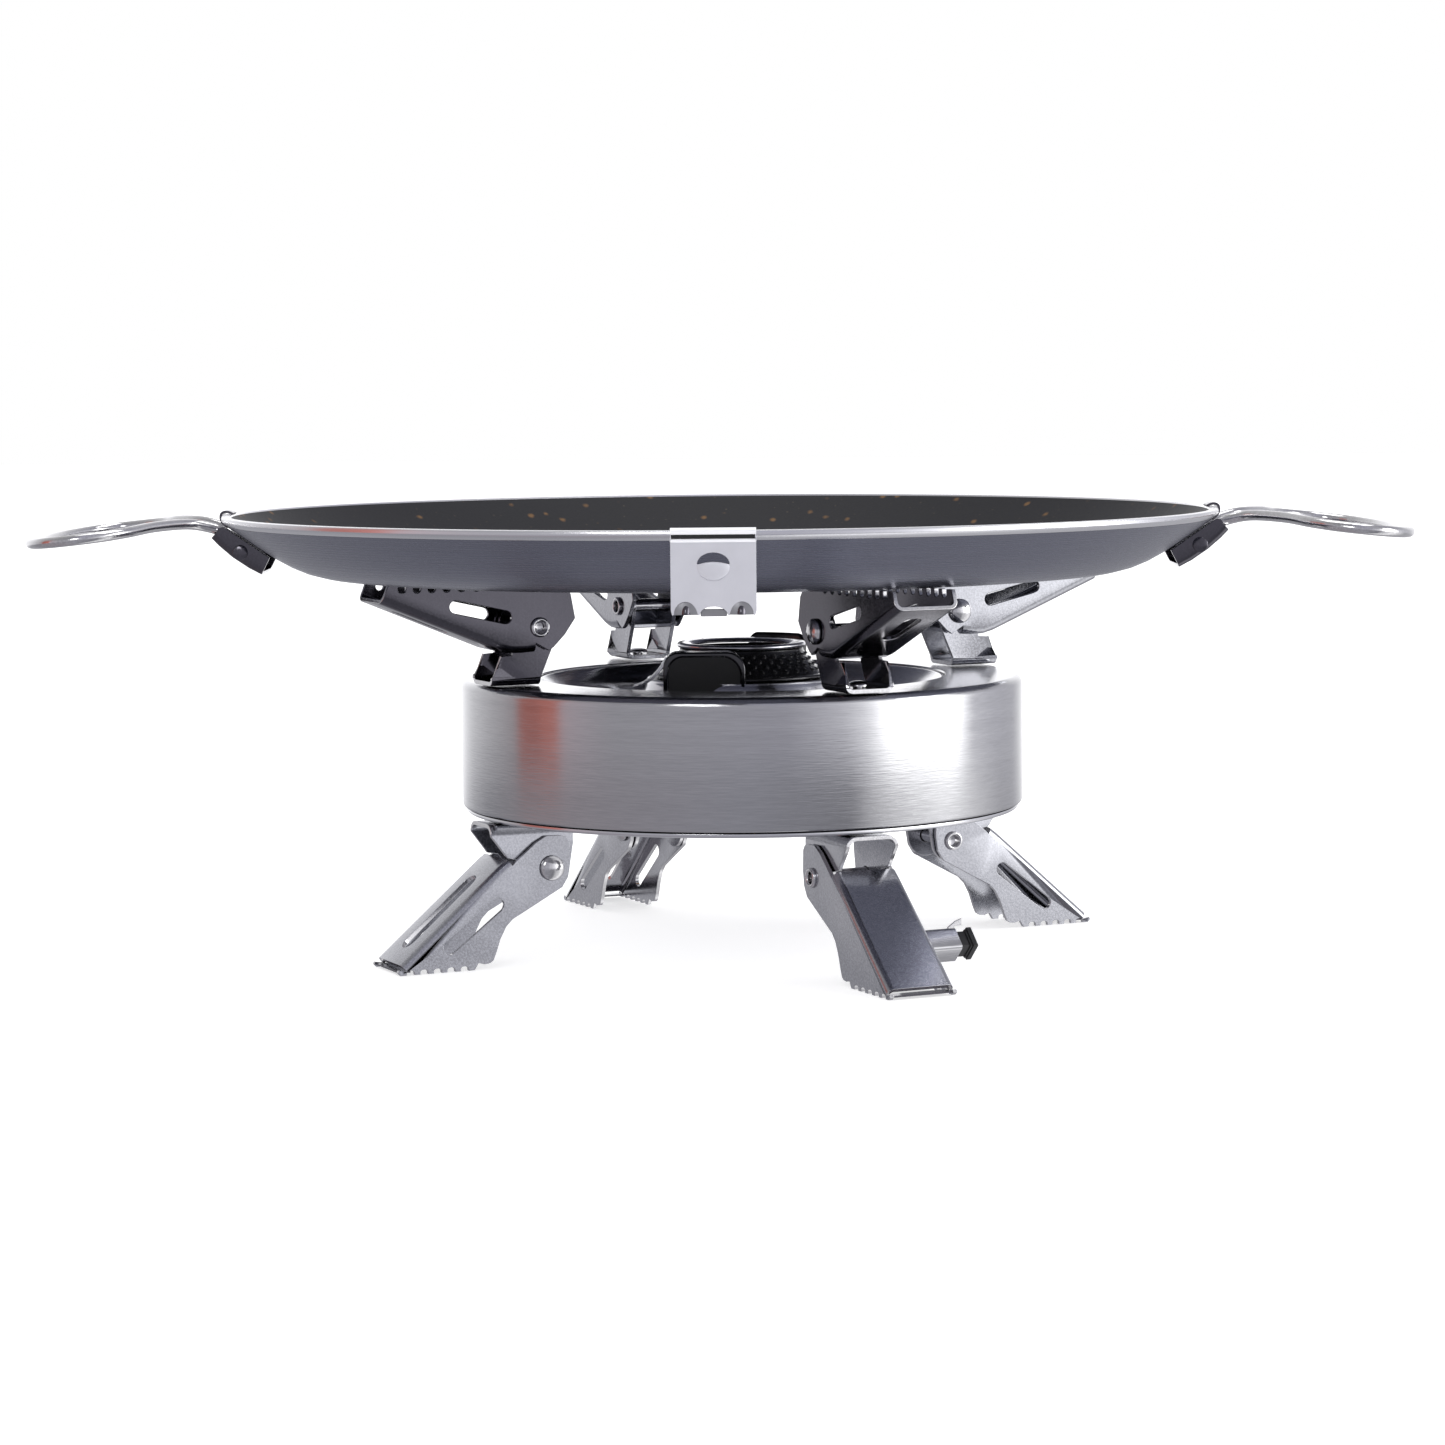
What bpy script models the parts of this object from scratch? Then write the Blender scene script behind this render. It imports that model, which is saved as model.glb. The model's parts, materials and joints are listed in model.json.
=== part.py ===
"""Portable gas stove on folding legs, with a wide pan resting on its folding pot supports.

The stove is a round steel drum that holds the burner, the mixing tube and the valve. Four channel-shaped legs
hinge under it and four channel-shaped supports hinge above it. The pan lifts off, and its two wire handles pull
out of their clips. Sizes in this script are in millimetres and become metres in the mesh. +Z is up, the feet
stand on z = 0, and the pan's axis is the Z axis.
"""
import math

import bmesh
import bpy
from mathutils import Vector

MM = 0.001
GAP = 0.3                      # between pieces that touch
ROUND_STEPS = 40               # facets of the large round pieces
SMALL_STEPS = 10               # facets of pins and rivets

# Stove body. Its axis stands a little beside the pan's.
STOVE_X = 5.8
DRUM_RADIUS = 80.0
DRUM_BOTTOM = 40.0
DRUM_TOP = 77.7
DRUM_SHEET = 1.0
DRUM_FILLET = 3.0
BASE_RADIUS = 78.9
BASE_THICKNESS = 1.3
TOP_OPENING = 58.0             # where the shell's top ends and the polished centre plate begins
TOP_RECESS = 0.5
DISH = [(57.0, 77.0), (54.5, 74.8), (51.0, 72.2), (46.0, 70.3), (40.0, 69.6), (32.0, 69.6), (29.4, 71.0),
        (27.8, 74.0), (26.5, 76.6), (25.5, 77.2)]
ELECTRODE_AT = (-12.0, 32.0)   # from the stove's axis
ELECTRODE_TOP = 86.0
GUARD_TOP = 88.4
BURNER_HOLE = 13.0

# Legs and supports stand on the same four radial lines.
CORNERS = {"front_left": 205.2, "front_right": 295.2, "back_right": 25.2, "back_left": 115.2}
PLAIN_LEG = "front_right"      # the leg that carries the igniter has no slots
SHEET = 1.2
PIN_RADIUS = 2.0
PIN_CLEARANCE = 0.25

LEG_PIVOT = (63.5, 27.0)       # radius from the stove's axis, height
LEG_HALF_WIDTH = 9.6           # at the pivot
LEG_TOE_HALF_WIDTH = 10.0
LEG_TOE = (110.0, 1.3)
LEG_WEB_TOP = (76.5, 30.0)
SOLE_START = (108.5, 0.0)
SOLE_END = (89.0, 0.0)
SOLE_NOTCHES = 4
LEG_SLOT = ((94.6, 6.6), (79.0, 18.2), 2.0)      # ends of the cheek slot's centre line, half width
LEG_WEB_SLOT = (78.5, 103.0, 3.0)                # radii of its ends, half width
BRACKET_HALF_WIDTH = 8.0

IGNITER = (89.2, 10.0)         # radius and height of its middle
IGNITER_SIDE = 7.0
IGNITER_END = 20.3
BUTTON_SIDE = 5.0
CAP_SIDE = 6.4
BUTTON_END = 25.2

SUPPORT_PIVOT = (66.0, 94.1)
SUPPORT_HALF_WIDTH = 9.3
SUPPORT_TOP = 107.0
SUPPORT_TIP = (112.4, 102.0)
SUPPORT_WEB_START = (82.4, 89.8)
SUPPORT_NOTCHES = 8
SUPPORT_SLOT = ((76.3, 97.2), (90.8, 100.6), 1.75)
SUPPORT_WEB_SLOT = (89.0, 103.0, 2.5)
POST_FOOT = (65.0, 79.6)       # radii of the ends of the upper bracket's base
POST_RIVET = 73.0              # radius of the upper bracket's rivet
POST_HALF_WIDTH = 7.2          # the upper brackets

# Burner and gas way.
BURNER_STEPS = 28
CUP_RADIUS = 17.3
CUP_TOP = 85.6
RING_RADIUS = 18.6
RING_TOP = 87.2
FLANGE_RADIUS = 25.2
HOOD_FRONT = -27.0             # how far in front of the stove's axis the hood's face stands
RISER_RADIUS = 10.0
RISER_BOTTOM = 50.0
TUBE_HEIGHT = 60.0
TUBE_RADIUS = 8.0
TUBE_BORE = 6.6
KNOB_RADIUS = 9.0
KNOB_LOBES = 12

# Pan.
PAN_STEPS = 48
PAN_RIM = 141.0
PAN_TOP = 124.8
PAN_FLAT = 109.0
PAN_UNDERSIDE = 107.3
PAN_FLOOR = 109.5
CLIP_HALF_WIDTH = 10.7
CLIP_SHEET = 1.0
FRONT_CLIP_X = -1.7
WIRE_RADIUS = 1.5
WIRE_STEPS_PER_SPAN = 2

FINISHES = {
    "brushed_steel": ((0.52, 0.52, 0.54), 0.32, 1.0),
    "polished_steel": ((0.72, 0.72, 0.74), 0.14, 1.0),
    "black_enamel": ((0.02, 0.02, 0.022), 0.25, 0.0),
    "brass": ((0.75, 0.55, 0.25), 0.3, 1.0),
    "black_plastic": ((0.015, 0.015, 0.015), 0.45, 0.0),
    "pan_coating": ((0.06, 0.06, 0.065), 0.5, 0.0),
    "ceramic": ((0.9, 0.89, 0.85), 0.4, 0.0),
}


def clear_scene():
    """Remove the objects that the scene starts with."""
    for item in list(bpy.data.objects):
        bpy.data.objects.remove(item, do_unlink=True)


def finish_material(name):
    """Return the material of one finish, made on first use."""
    material = bpy.data.materials.get(name)
    if material is None:
        color, roughness, metallic = FINISHES[name]
        material = bpy.data.materials.new(name)
        material.use_nodes = True
        shader = material.node_tree.nodes["Principled BSDF"]
        shader.inputs["Base Color"].default_value = (*color, 1.0)
        shader.inputs["Roughness"].default_value = roughness
        shader.inputs["Metallic"].default_value = metallic
    return material


def mesh_from(verts, faces):
    """Make a closed mesh from points in millimetres, with its faces turned outwards."""
    shape = bmesh.new()
    corners = [shape.verts.new(Vector(point) * MM) for point in verts]
    for face in faces:
        shape.faces.new([corners[i] for i in face])
    bmesh.ops.recalc_face_normals(shape, faces=shape.faces)
    mesh = bpy.data.meshes.new("shape")
    shape.to_mesh(mesh)
    shape.free()
    return mesh


def place(name, mesh, finish, at=(0.0, 0.0, 0.0), turn=0.0):
    """Put a mesh in the scene as a node. at is in millimetres and turn is degrees about +Z."""
    node_mesh = mesh.copy()
    node_mesh.materials.clear()
    node_mesh.materials.append(finish_material(finish))
    node_mesh.shade_smooth()
    node_mesh.set_sharp_from_angle(angle=math.radians(35))
    node = bpy.data.objects.new(name, node_mesh)
    node.location = Vector(at) * MM
    node.rotation_euler.z = math.radians(turn)
    bpy.context.scene.collection.objects.link(node)
    return node


def prism(outline, near, far=None):
    """Close an outline of (x, z) points into a solid that runs along Y.

    near is a number, for a solid from -near to +near, or a function of x that gives that half width. With far,
    the solid runs from near to far.
    """
    count = len(outline)
    if far is None:
        half = near if callable(near) else (lambda x: near)
        front = [(x, -half(x), z) for x, z in outline]
        back = [(x, half(x), z) for x, z in outline]
    else:
        front = [(x, near, z) for x, z in outline]
        back = [(x, far, z) for x, z in outline]
    sides = [(i, (i + 1) % count, (i + 1) % count + count, i + count) for i in range(count)]
    ends = [tuple(range(count)), tuple(range(count, 2 * count))]
    return mesh_from(front + back, sides + ends)


def lathe(profile, steps=ROUND_STEPS, along="Z", around=(0.0, 0.0, 0.0)):
    """Turn a closed profile of (radius, position) points about an axis through the point around."""
    verts, faces, rings = [], [], []
    for radius, level in profile:
        ring = []
        for k in range(steps if radius > 0 else 1):
            angle = 2 * math.pi * k / steps
            across, aside = radius * math.cos(angle), radius * math.sin(angle)
            point = (across, aside, level) if along == "Z" else (across, level, aside)
            ring.append(len(verts))
            verts.append(tuple(p + q for p, q in zip(point, around)))
        rings.append(ring)
    for ring, after in zip(rings, rings[1:] + rings[:1]):
        if len(ring) == 1 and len(after) == 1:
            continue
        for k in range(steps):
            corners = [ring[k % len(ring)], ring[(k + 1) % len(ring)],
                       after[(k + 1) % len(after)], after[k % len(after)]]
            faces.append(tuple(dict.fromkeys(corners)))
    return mesh_from(verts, faces)


def combine(base, tools, operation="DIFFERENCE"):
    """Cut the tools' meshes from the base mesh, or join them to it."""
    host = bpy.data.objects.new("host", base)
    helpers = [bpy.data.objects.new("tool", tool) for tool in tools]
    for item in [host] + helpers:
        bpy.context.scene.collection.objects.link(item)
    for helper in helpers:
        modifier = host.modifiers.new("combine", "BOOLEAN")
        modifier.operation = operation
        modifier.object = helper
    bpy.context.view_layer.update()
    graph = bpy.context.evaluated_depsgraph_get()
    result = bpy.data.meshes.new_from_object(host.evaluated_get(graph))
    for item in [host] + helpers:
        bpy.data.objects.remove(item)
    return result


def local(outline, pivot):
    """Points given as (radius, height), moved so that the pivot is the origin."""
    return [(r - pivot[0], z - pivot[1]) for r, z in outline]


def arc(center, radius, start, end, steps):
    """Points on a circle, from start to end in degrees."""
    angles = [math.radians(start + (end - start) * k / steps) for k in range(steps + 1)]
    return [(center[0] + radius * math.cos(a), center[1] + radius * math.sin(a)) for a in angles]


def notched(start, end, notches, depth, inward):
    """Points along a straight edge with small notches, each a shallow V with a flat crest before it.

    inward is +1 where the notches rise above the edge and -1 where they sink below it.
    """
    points = [start]
    length = end[0] - start[0]
    for k in range(notches):
        middle = start[0] + length * (k + 1) / (notches + 1)
        half = abs(length) / (notches + 1) * 0.3 * (1 if length > 0 else -1)
        points += [(middle - half, start[1]), (middle, start[1] + inward * depth), (middle + half, start[1])]
    return points + [end]


def slot_cutter(slot, pivot, reach):
    """A long hole with round ends, cut through both cheeks."""
    (x0, z0), (x1, z1), half = slot
    tilt = math.degrees(math.atan2(z1 - z0, x1 - x0))
    outline = arc((x1, z1), half, tilt - 90, tilt + 90, 4) + arc((x0, z0), half, tilt + 90, tilt + 270, 4)
    return prism(local(outline, pivot), reach)


def web_slot_cutter(slot, pivot, low, high):
    """A long hole with round ends, cut straight down through a web."""
    inner, outer, half = slot
    plan = arc((outer, 0), half, -90, 90, 4) + arc((inner, 0), half, 90, 270, 4)
    count = len(plan)
    verts = [(r - pivot[0], t, low - pivot[1]) for r, t in plan]
    verts += [(r - pivot[0], t, high - pivot[1]) for r, t in plan]
    sides = [(i, (i + 1) % count, (i + 1) % count + count, i + count) for i in range(count)]
    return mesh_from(verts, sides + [tuple(range(count)), tuple(range(count, 2 * count))])


def pin_hole():
    """The bore that a hinge pin runs through, on the local Y axis."""
    return lathe([(0, -20), (PIN_RADIUS + PIN_CLEARANCE, -20), (PIN_RADIUS + PIN_CLEARANCE, 20), (0, 20)],
                 SMALL_STEPS, "Y")


def leg_half_width(x):
    """Half of the leg's width, which grows evenly from the pivot to the toe."""
    grown = (LEG_TOE_HALF_WIDTH - LEG_HALF_WIDTH) / (LEG_TOE[0] - LEG_PIVOT[0])
    return LEG_HALF_WIDTH + grown * x


def leg_mesh(slotted):
    """One leg: a bent channel whose web faces out and whose cheeks end in a toothed sole."""
    sole = notched(SOLE_START, SOLE_END, SOLE_NOTCHES, 1.2, +1)
    heel = [(87.5, 0.9), (85.7, 1.9), (83.0, 1.5), (80.9, 2.4), (79.3, 6.0), (76.9, 11.9), (73.3, 14.7)]
    crown = [(60.3, 21.4), (58.3, 24.4), (57.8, 28.3), (58.2, 35.0), (65.0, 36.0), (74.3, 29.3)]
    outline = local([LEG_WEB_TOP, LEG_TOE] + sole + heel + crown, LEG_PIVOT)
    dx, dz = LEG_TOE[0] - LEG_WEB_TOP[0], LEG_TOE[1] - LEG_WEB_TOP[1]
    length = math.hypot(dx, dz)
    along = (dx / length, dz / length)
    shift = (SHEET * along[1], -SHEET * along[0])
    past = 12.0
    top = (LEG_WEB_TOP[0] + shift[0] - past * along[0], LEG_WEB_TOP[1] + shift[1] - past * along[1])
    toe = (LEG_TOE[0] + shift[0] + past * along[0], LEG_TOE[1] + shift[1] + past * along[1])
    inside = local([top, toe, (toe[0], -20.0), (40.0, -20.0), (40.0, top[1])], LEG_PIVOT)
    cutters = [prism(inside, lambda x: leg_half_width(x) - SHEET), pin_hole()]
    if slotted:
        cutters.append(slot_cutter(LEG_SLOT, LEG_PIVOT, 20.0))
        cutters.append(web_slot_cutter(LEG_WEB_SLOT, LEG_PIVOT, 5.5, 40.0))
    return combine(prism(outline, leg_half_width), cutters)


def leg_bracket_mesh():
    """The channel riveted under the drum, whose cheeks stand inside the leg's."""
    top = DRUM_BOTTOM - GAP
    round_end = arc(LEG_PIVOT, 6.2, 180, 340, 6)
    outline = [(80.8, top), (56.2, top), (56.2, 33.5)] + round_end + [(73.0, 29.9), (77.0, 31.4)]
    inside = [(90.0, top - SHEET), (90.0, 10.0), (45.0, 10.0), (45.0, top - SHEET)]
    cutters = [prism(local(inside, LEG_PIVOT), BRACKET_HALF_WIDTH - SHEET), pin_hole(),
               lathe([(0, 5), (1.8, 5), (1.8, 20), (0, 20)], SMALL_STEPS, "Z", (5.0, 0, 0))]
    return combine(prism(local(outline, LEG_PIVOT), BRACKET_HALF_WIDTH), cutters)


def support_mesh():
    """One pot support: a channel open at the top, with toothed upper edges and a slotted web."""
    teeth = notched((109.2, SUPPORT_TOP), (68.5, SUPPORT_TOP), SUPPORT_NOTCHES, 1.6, -1)
    outline = [SUPPORT_TIP, (110.0, SUPPORT_TOP)] + teeth
    outline += [(60.0, SUPPORT_TOP), (56.6, 103.0), (55.3, 96.3), (58.5, 91.9), (62.8, 87.7), (66.8, 87.3),
                (74.0, 87.0), SUPPORT_WEB_START]
    dx, dz = SUPPORT_TIP[0] - SUPPORT_WEB_START[0], SUPPORT_TIP[1] - SUPPORT_WEB_START[1]
    length = math.hypot(dx, dz)
    lift = SHEET * length / dx
    tip_past = (SUPPORT_TIP[0] + 20, SUPPORT_TIP[1] + lift + 20 * dz / dx)
    bend = (SUPPORT_WEB_START[0], SUPPORT_WEB_START[1] + lift)
    inside = [tip_past, (tip_past[0], 130.0), (45.0, 130.0), (45.0, 80.0), (73.9, 80.0), (73.9, 88.2), bend]
    cutters = [prism(local(inside, SUPPORT_PIVOT), SUPPORT_HALF_WIDTH - SHEET), pin_hole(),
               slot_cutter(SUPPORT_SLOT, SUPPORT_PIVOT, 20.0),
               web_slot_cutter(SUPPORT_WEB_SLOT, SUPPORT_PIVOT, 85.0, 104.0)]
    return combine(prism(local(outline, SUPPORT_PIVOT), SUPPORT_HALF_WIDTH), cutters)


def support_bracket_mesh():
    """The channel riveted on the drum's top, whose cheeks stand inside the support's."""
    bottom = DRUM_TOP + GAP
    outline = [(POST_FOOT[0], bottom), (POST_FOOT[1], bottom), (79.8, 79.3), (76.7, 86.3), (73.5, 86.4)]
    outline += arc(SUPPORT_PIVOT, 6.0, -10, 190, 6) + [(61.6, 88.0)]
    inside = [(95.0, bottom + SHEET), (95.0, 110.0), (45.0, 110.0), (45.0, bottom + SHEET)]
    rivet_hole = lathe([(0, -20), (1.8, -20), (1.8, -8), (0, -8)], SMALL_STEPS, "Z",
                       (POST_RIVET - SUPPORT_PIVOT[0], 0, 0))
    cutters = [prism(local(inside, SUPPORT_PIVOT), POST_HALF_WIDTH - SHEET), pin_hole(), rivet_hole]
    return combine(prism(local(outline, SUPPORT_PIVOT), POST_HALF_WIDTH), cutters)


def pin_mesh(inner_half, head_side):
    """A hinge pin on the local Y axis, with a domed head on one side and a rolled, hollow end on the other."""
    head = inner_half + GAP
    profile = [(0, -head - 1.6), (1.3, -head - 1.5), (2.3, -head - 1.1), (2.9, -head - 0.5), (2.9, -head),
               (PIN_RADIUS, -head), (PIN_RADIUS, head), (2.6, head), (2.6, head + 0.9), (1.3, head + 0.9),
               (1.3, head - 2.0), (0, head - 2.0)]
    if head_side > 0:
        profile = [(radius, -level) for radius, level in reversed(profile)]
    return lathe(profile, SMALL_STEPS, "Y")


def rivet_mesh(low, high):
    """A short rivet on the local Z axis from its shank's end up to its domed head."""
    head = [(3.0, high), (2.9, high + 0.5), (2.2, high + 1.1), (1.2, high + 1.4), (0, high + 1.5)]
    return lathe([(0, low), (1.5, low), (1.5, high)] + head, SMALL_STEPS)


def on_corner(azimuth, radius, height):
    """The point at a radius and height on one of the four radial lines."""
    angle = math.radians(azimuth)
    return (STOVE_X + radius * math.cos(angle), radius * math.sin(angle), height)


def make_legs():
    """The four legs, each with its bracket, pin and rivet."""
    slotted, plain, bracket = leg_mesh(True), leg_mesh(False), leg_bracket_mesh()
    bracket_top = DRUM_BOTTOM - GAP
    rivet = lathe([(0, bracket_top - SHEET - GAP - 1.3), (1.6, bracket_top - SHEET - GAP - 1.1),
                   (2.6, bracket_top - SHEET - GAP - 0.5), (2.7, bracket_top - SHEET - GAP),
                   (1.5, bracket_top - SHEET - GAP), (1.5, bracket_top - 0.1), (0, bracket_top - 0.1)], SMALL_STEPS)
    for name, azimuth in CORNERS.items():
        at = on_corner(azimuth, *LEG_PIVOT)
        place(f"leg_{name}", plain if name == PLAIN_LEG else slotted, "polished_steel", at, azimuth)
        place(f"leg_bracket_{name}", bracket, "polished_steel", at, azimuth)
        place(f"leg_pin_{name}", pin_mesh(LEG_HALF_WIDTH, +1), "polished_steel", at, azimuth)
        place(f"leg_rivet_{name}", rivet, "polished_steel", on_corner(azimuth, LEG_PIVOT[0] + 5.0, 0), azimuth)


def make_supports():
    """The four pot supports, each with its bracket, pin and rivet."""
    support, bracket = support_mesh(), support_bracket_mesh()
    base = DRUM_TOP + GAP
    rivet = rivet_mesh(base + 0.1, base + SHEET + GAP)
    for name, azimuth in CORNERS.items():
        at = on_corner(azimuth, *SUPPORT_PIVOT)
        place(f"support_{name}", support, "polished_steel", at, azimuth)
        place(f"support_bracket_{name}", bracket, "polished_steel", at, azimuth)
        place(f"support_pin_{name}", pin_mesh(SUPPORT_HALF_WIDTH, -1), "polished_steel", at, azimuth)
        place(f"support_rivet_{name}", rivet, "polished_steel", on_corner(azimuth, POST_RIVET, 0), azimuth)


def make_drum():
    """The drawn shell with its flat top, the polished plate in its middle, and the base plate under it."""
    axis = (STOVE_X, 0, 0)
    wall, low = DRUM_SHEET, DRUM_BOTTOM + BASE_THICKNESS + GAP
    outer = arc((DRUM_RADIUS - DRUM_FILLET, DRUM_TOP - DRUM_FILLET), DRUM_FILLET, 0, 90, 3)
    inner = arc((DRUM_RADIUS - DRUM_FILLET, DRUM_TOP - DRUM_FILLET), DRUM_FILLET - wall, 90, 0, 3)
    profile = [(DRUM_RADIUS - wall, low), (DRUM_RADIUS, low)] + outer + [(TOP_OPENING, DRUM_TOP)]
    profile += [(TOP_OPENING, DRUM_TOP - wall)] + inner
    neck = lathe([(0, 60), (6.0, 60), (6.0, 100), (0, 100)], SMALL_STEPS, "Y", (STOVE_X, 0, TUBE_HEIGHT))
    place("drum_shell", combine(lathe(profile, around=axis), [neck]), "brushed_steel")
    plate_top = DRUM_TOP - TOP_RECESS
    edge = TOP_OPENING - GAP
    under = [(radius, height - wall) for radius, height in reversed(DISH)]
    plate = [(BURNER_HOLE, plate_top - wall)] + under + [(edge, plate_top - wall), (edge, plate_top)] + DISH
    place("top_plate", lathe(plate + [(BURNER_HOLE, plate_top)], around=axis), "polished_steel")
    base = [(0, DRUM_BOTTOM), (BASE_RADIUS - 0.8, DRUM_BOTTOM), (BASE_RADIUS, DRUM_BOTTOM + 0.6),
            (BASE_RADIUS, DRUM_BOTTOM + BASE_THICKNESS), (0, DRUM_BOTTOM + BASE_THICKNESS)]
    place("base_plate", lathe(base, around=axis), "brushed_steel")


def make_burner():
    """The burner head: flange, cup on its riser, polished ring, front hood, rear guard and electrode."""
    axis = (STOVE_X, 0, 0)
    floor = DRUM_TOP - TOP_RECESS + GAP
    flange = [(CUP_RADIUS + 2.2, floor), (FLANGE_RADIUS, floor), (FLANGE_RADIUS, floor + 1.0),
              (FLANGE_RADIUS - 1.4, floor + 2.0), (CUP_RADIUS + 2.2, floor + 2.6)]
    place("burner_flange", lathe(flange, BURNER_STEPS, around=axis), "black_enamel")
    cup = [(0, RISER_BOTTOM), (RISER_RADIUS, RISER_BOTTOM), (RISER_RADIUS, floor), (CUP_RADIUS + 1.6, floor),
           (CUP_RADIUS, CUP_TOP), (CUP_RADIUS - 1.6, CUP_TOP), (CUP_RADIUS - 2.2, floor + 2.2),
           (RISER_RADIUS - 1.6, floor + 2.2), (RISER_RADIUS - 1.6, RISER_BOTTOM + 1.6), (0, RISER_BOTTOM + 1.6)]
    place("burner_cup", lathe(cup, BURNER_STEPS, around=axis), "black_enamel")
    lip = CUP_TOP + GAP
    ring = [(14.2, lip), (RING_RADIUS, lip), (RING_RADIUS, lip + 0.5), (RING_RADIUS - 0.9, RING_TOP),
            (15.2, RING_TOP), (14.2, RING_TOP - 0.5)]
    place("burner_ring", lathe(ring, BURNER_STEPS, around=axis), "polished_steel")
    grid = [(0, 83.0), (12.6, 83.0), (13.6, 84.0), (12.6, 85.0), (0, 85.4)]
    place("burner_grid", lathe(grid, BURNER_STEPS, around=axis), "black_enamel")
    stem = [(0, floor + 3.0), (3.0, floor + 3.0), (3.0, 82.7), (0, 82.7)]
    place("burner_grid_post", lathe(stem, SMALL_STEPS, around=axis), "black_enamel")
    arch = [(-22.0, DISH[4][1] + 0.6), (1.0, DISH[4][1] + 0.6)] + arc((-4.2, 80.2), 5.2, 0, 90, 5)
    arch += arc((-17.8, 81.2), 4.2, 90, 180, 5)
    arch = [(STOVE_X + x, z) for x, z in arch]
    behind = [(0, 65), (DISH[3][0], 65)] + [(radius + 0.2, height + 0.25) for radius, height in DISH[3:-1]]
    behind += [(FLANGE_RADIUS + GAP, floor + 0.4), (FLANGE_RADIUS + GAP, floor + 2.6 + GAP),
              (RING_RADIUS + 0.6, floor + 2.6 + GAP), (RING_RADIUS + 0.6, 95), (0, 95)]
    hood = combine(prism(arch, HOOD_FRONT, -12.0), [lathe(behind, BURNER_STEPS, around=axis)])
    place("burner_hood", hood, "black_enamel")
    guard = [(21.6, floor + 3.4), (22.6, floor + 3.4), (22.6, GUARD_TOP), (21.6, GUARD_TOP)]
    keep = prism([(STOVE_X + 1.5, 70), (STOVE_X + 19.0, 70), (STOVE_X + 19.0, 95), (STOVE_X + 1.5, 95)], 5.0, 30.0)
    place("burner_guard", combine(lathe(guard, BURNER_STEPS, around=axis), [keep], "INTERSECT"), "black_enamel")
    neck = ELECTRODE_TOP - 3.4
    foot = DISH[4][1] + GAP
    rod = lathe([(0, foot), (2.0, foot), (2.0, neck - 0.6), (0.8, neck), (0.8, ELECTRODE_TOP), (0, ELECTRODE_TOP)],
                SMALL_STEPS, around=(STOVE_X + ELECTRODE_AT[0], ELECTRODE_AT[1], 0))
    place("electrode", rod, "ceramic")


def make_gas_way():
    """Mixing tube, jet, valve and inlet, in line behind the burner."""
    at = (STOVE_X, 0, TUBE_HEIGHT)
    near = RISER_RADIUS + GAP + 1.0
    tube = [(TUBE_BORE, near), (TUBE_RADIUS, near), (TUBE_RADIUS, 54.0), (TUBE_RADIUS + 1.5, 58.0),
            (TUBE_RADIUS, 58.0), (TUBE_BORE, 54.0)]
    place("mixing_tube", lathe(tube, 16, "Y", at), "brushed_steel")
    jet = [(0, 52.0), (2.0, 52.0), (2.0, 60.0), (4.2, 60.0), (4.2, 66.0), (0, 66.0)]
    place("gas_jet", lathe(jet, SMALL_STEPS, "Y", at), "brass")
    body = [(0, 66.3), (5.2, 66.3), (5.2, 80.5), (8.0, 80.5), (8.0, 96.0), (0, 96.0)]
    place("valve_body", lathe(body, 16, "Y", at), "brass")
    lobes = []
    for k in range(4 * KNOB_LOBES):
        radius = KNOB_RADIUS - (0.9 if k % 4 >= 2 else 0.0)
        angle = 2 * math.pi * k / (4 * KNOB_LOBES)
        lobes.append((STOVE_X + radius * math.cos(angle), TUBE_HEIGHT + radius * math.sin(angle)))
    place("valve_knob", prism(lobes, 96.4, 108.0), "black_plastic")
    inlet = [(0, 34.0), (2.2, 34.0), (5.5, 34.0), (5.5, 42.0), (6.8, 42.0), (6.8, 48.0), (5.0, 48.0),
             (5.0, 51.6), (0, 51.6)]
    bore = lathe([(0, 30.0), (2.2, 30.0), (2.2, 45.0), (0, 45.0)], SMALL_STEPS, around=(STOVE_X, 88.0, 0))
    place("inlet_fitting", combine(lathe(inlet, 16, around=(STOVE_X, 88.0, 0)), [bore]), "brass")


def box(low, high):
    """A rectangular solid between two corners."""
    return prism([(low[0], low[2]), (high[0], low[2]), (high[0], high[2]), (low[0], high[2])], low[1], high[1])


def diamond(middle, side):
    """A square outline that stands on its corner, like the igniter on the slope of its leg."""
    reach = side / math.sqrt(2)
    return [(middle[0] - reach, middle[1]), (middle[0], middle[1] - reach), (middle[0] + reach, middle[1]),
            (middle[0], middle[1] + reach)]


def make_igniter():
    """The igniter's housing on the plain leg's cheek, and the button that slides into it."""
    azimuth = CORNERS[PLAIN_LEG]
    at = on_corner(azimuth, *LEG_PIVOT)
    middle = (IGNITER[0] - LEG_PIVOT[0], IGNITER[1] - LEG_PIVOT[1])
    side = leg_half_width(middle[0] + IGNITER_SIDE) + GAP
    left, right, corner = middle[0] - 1.4, middle[0] + 0.8, middle[1] + 4.95
    root = box((left, 18.0, corner - 1.3), (right, IGNITER_END - 0.2, corner + 1.0))
    tab = box((left, 18.0, corner), (right, 22.6, corner + 2.5))
    shell = combine(prism(diamond(middle, IGNITER_SIDE), side, IGNITER_END), [root, tab], "UNION")
    hollow = prism(diamond(middle, BUTTON_SIDE + 0.8), 13.0, 30.0)
    place("igniter_housing", combine(shell, [hollow]), "brushed_steel", at, azimuth)
    shank = prism(diamond(middle, BUTTON_SIDE), 16.0, BUTTON_END - 1.0)
    cap = prism(diamond(middle, CAP_SIDE), BUTTON_END - 2.0, BUTTON_END)
    place("igniter_button", combine(shank, [cap], "UNION"), "black_plastic", at, azimuth)


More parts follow.
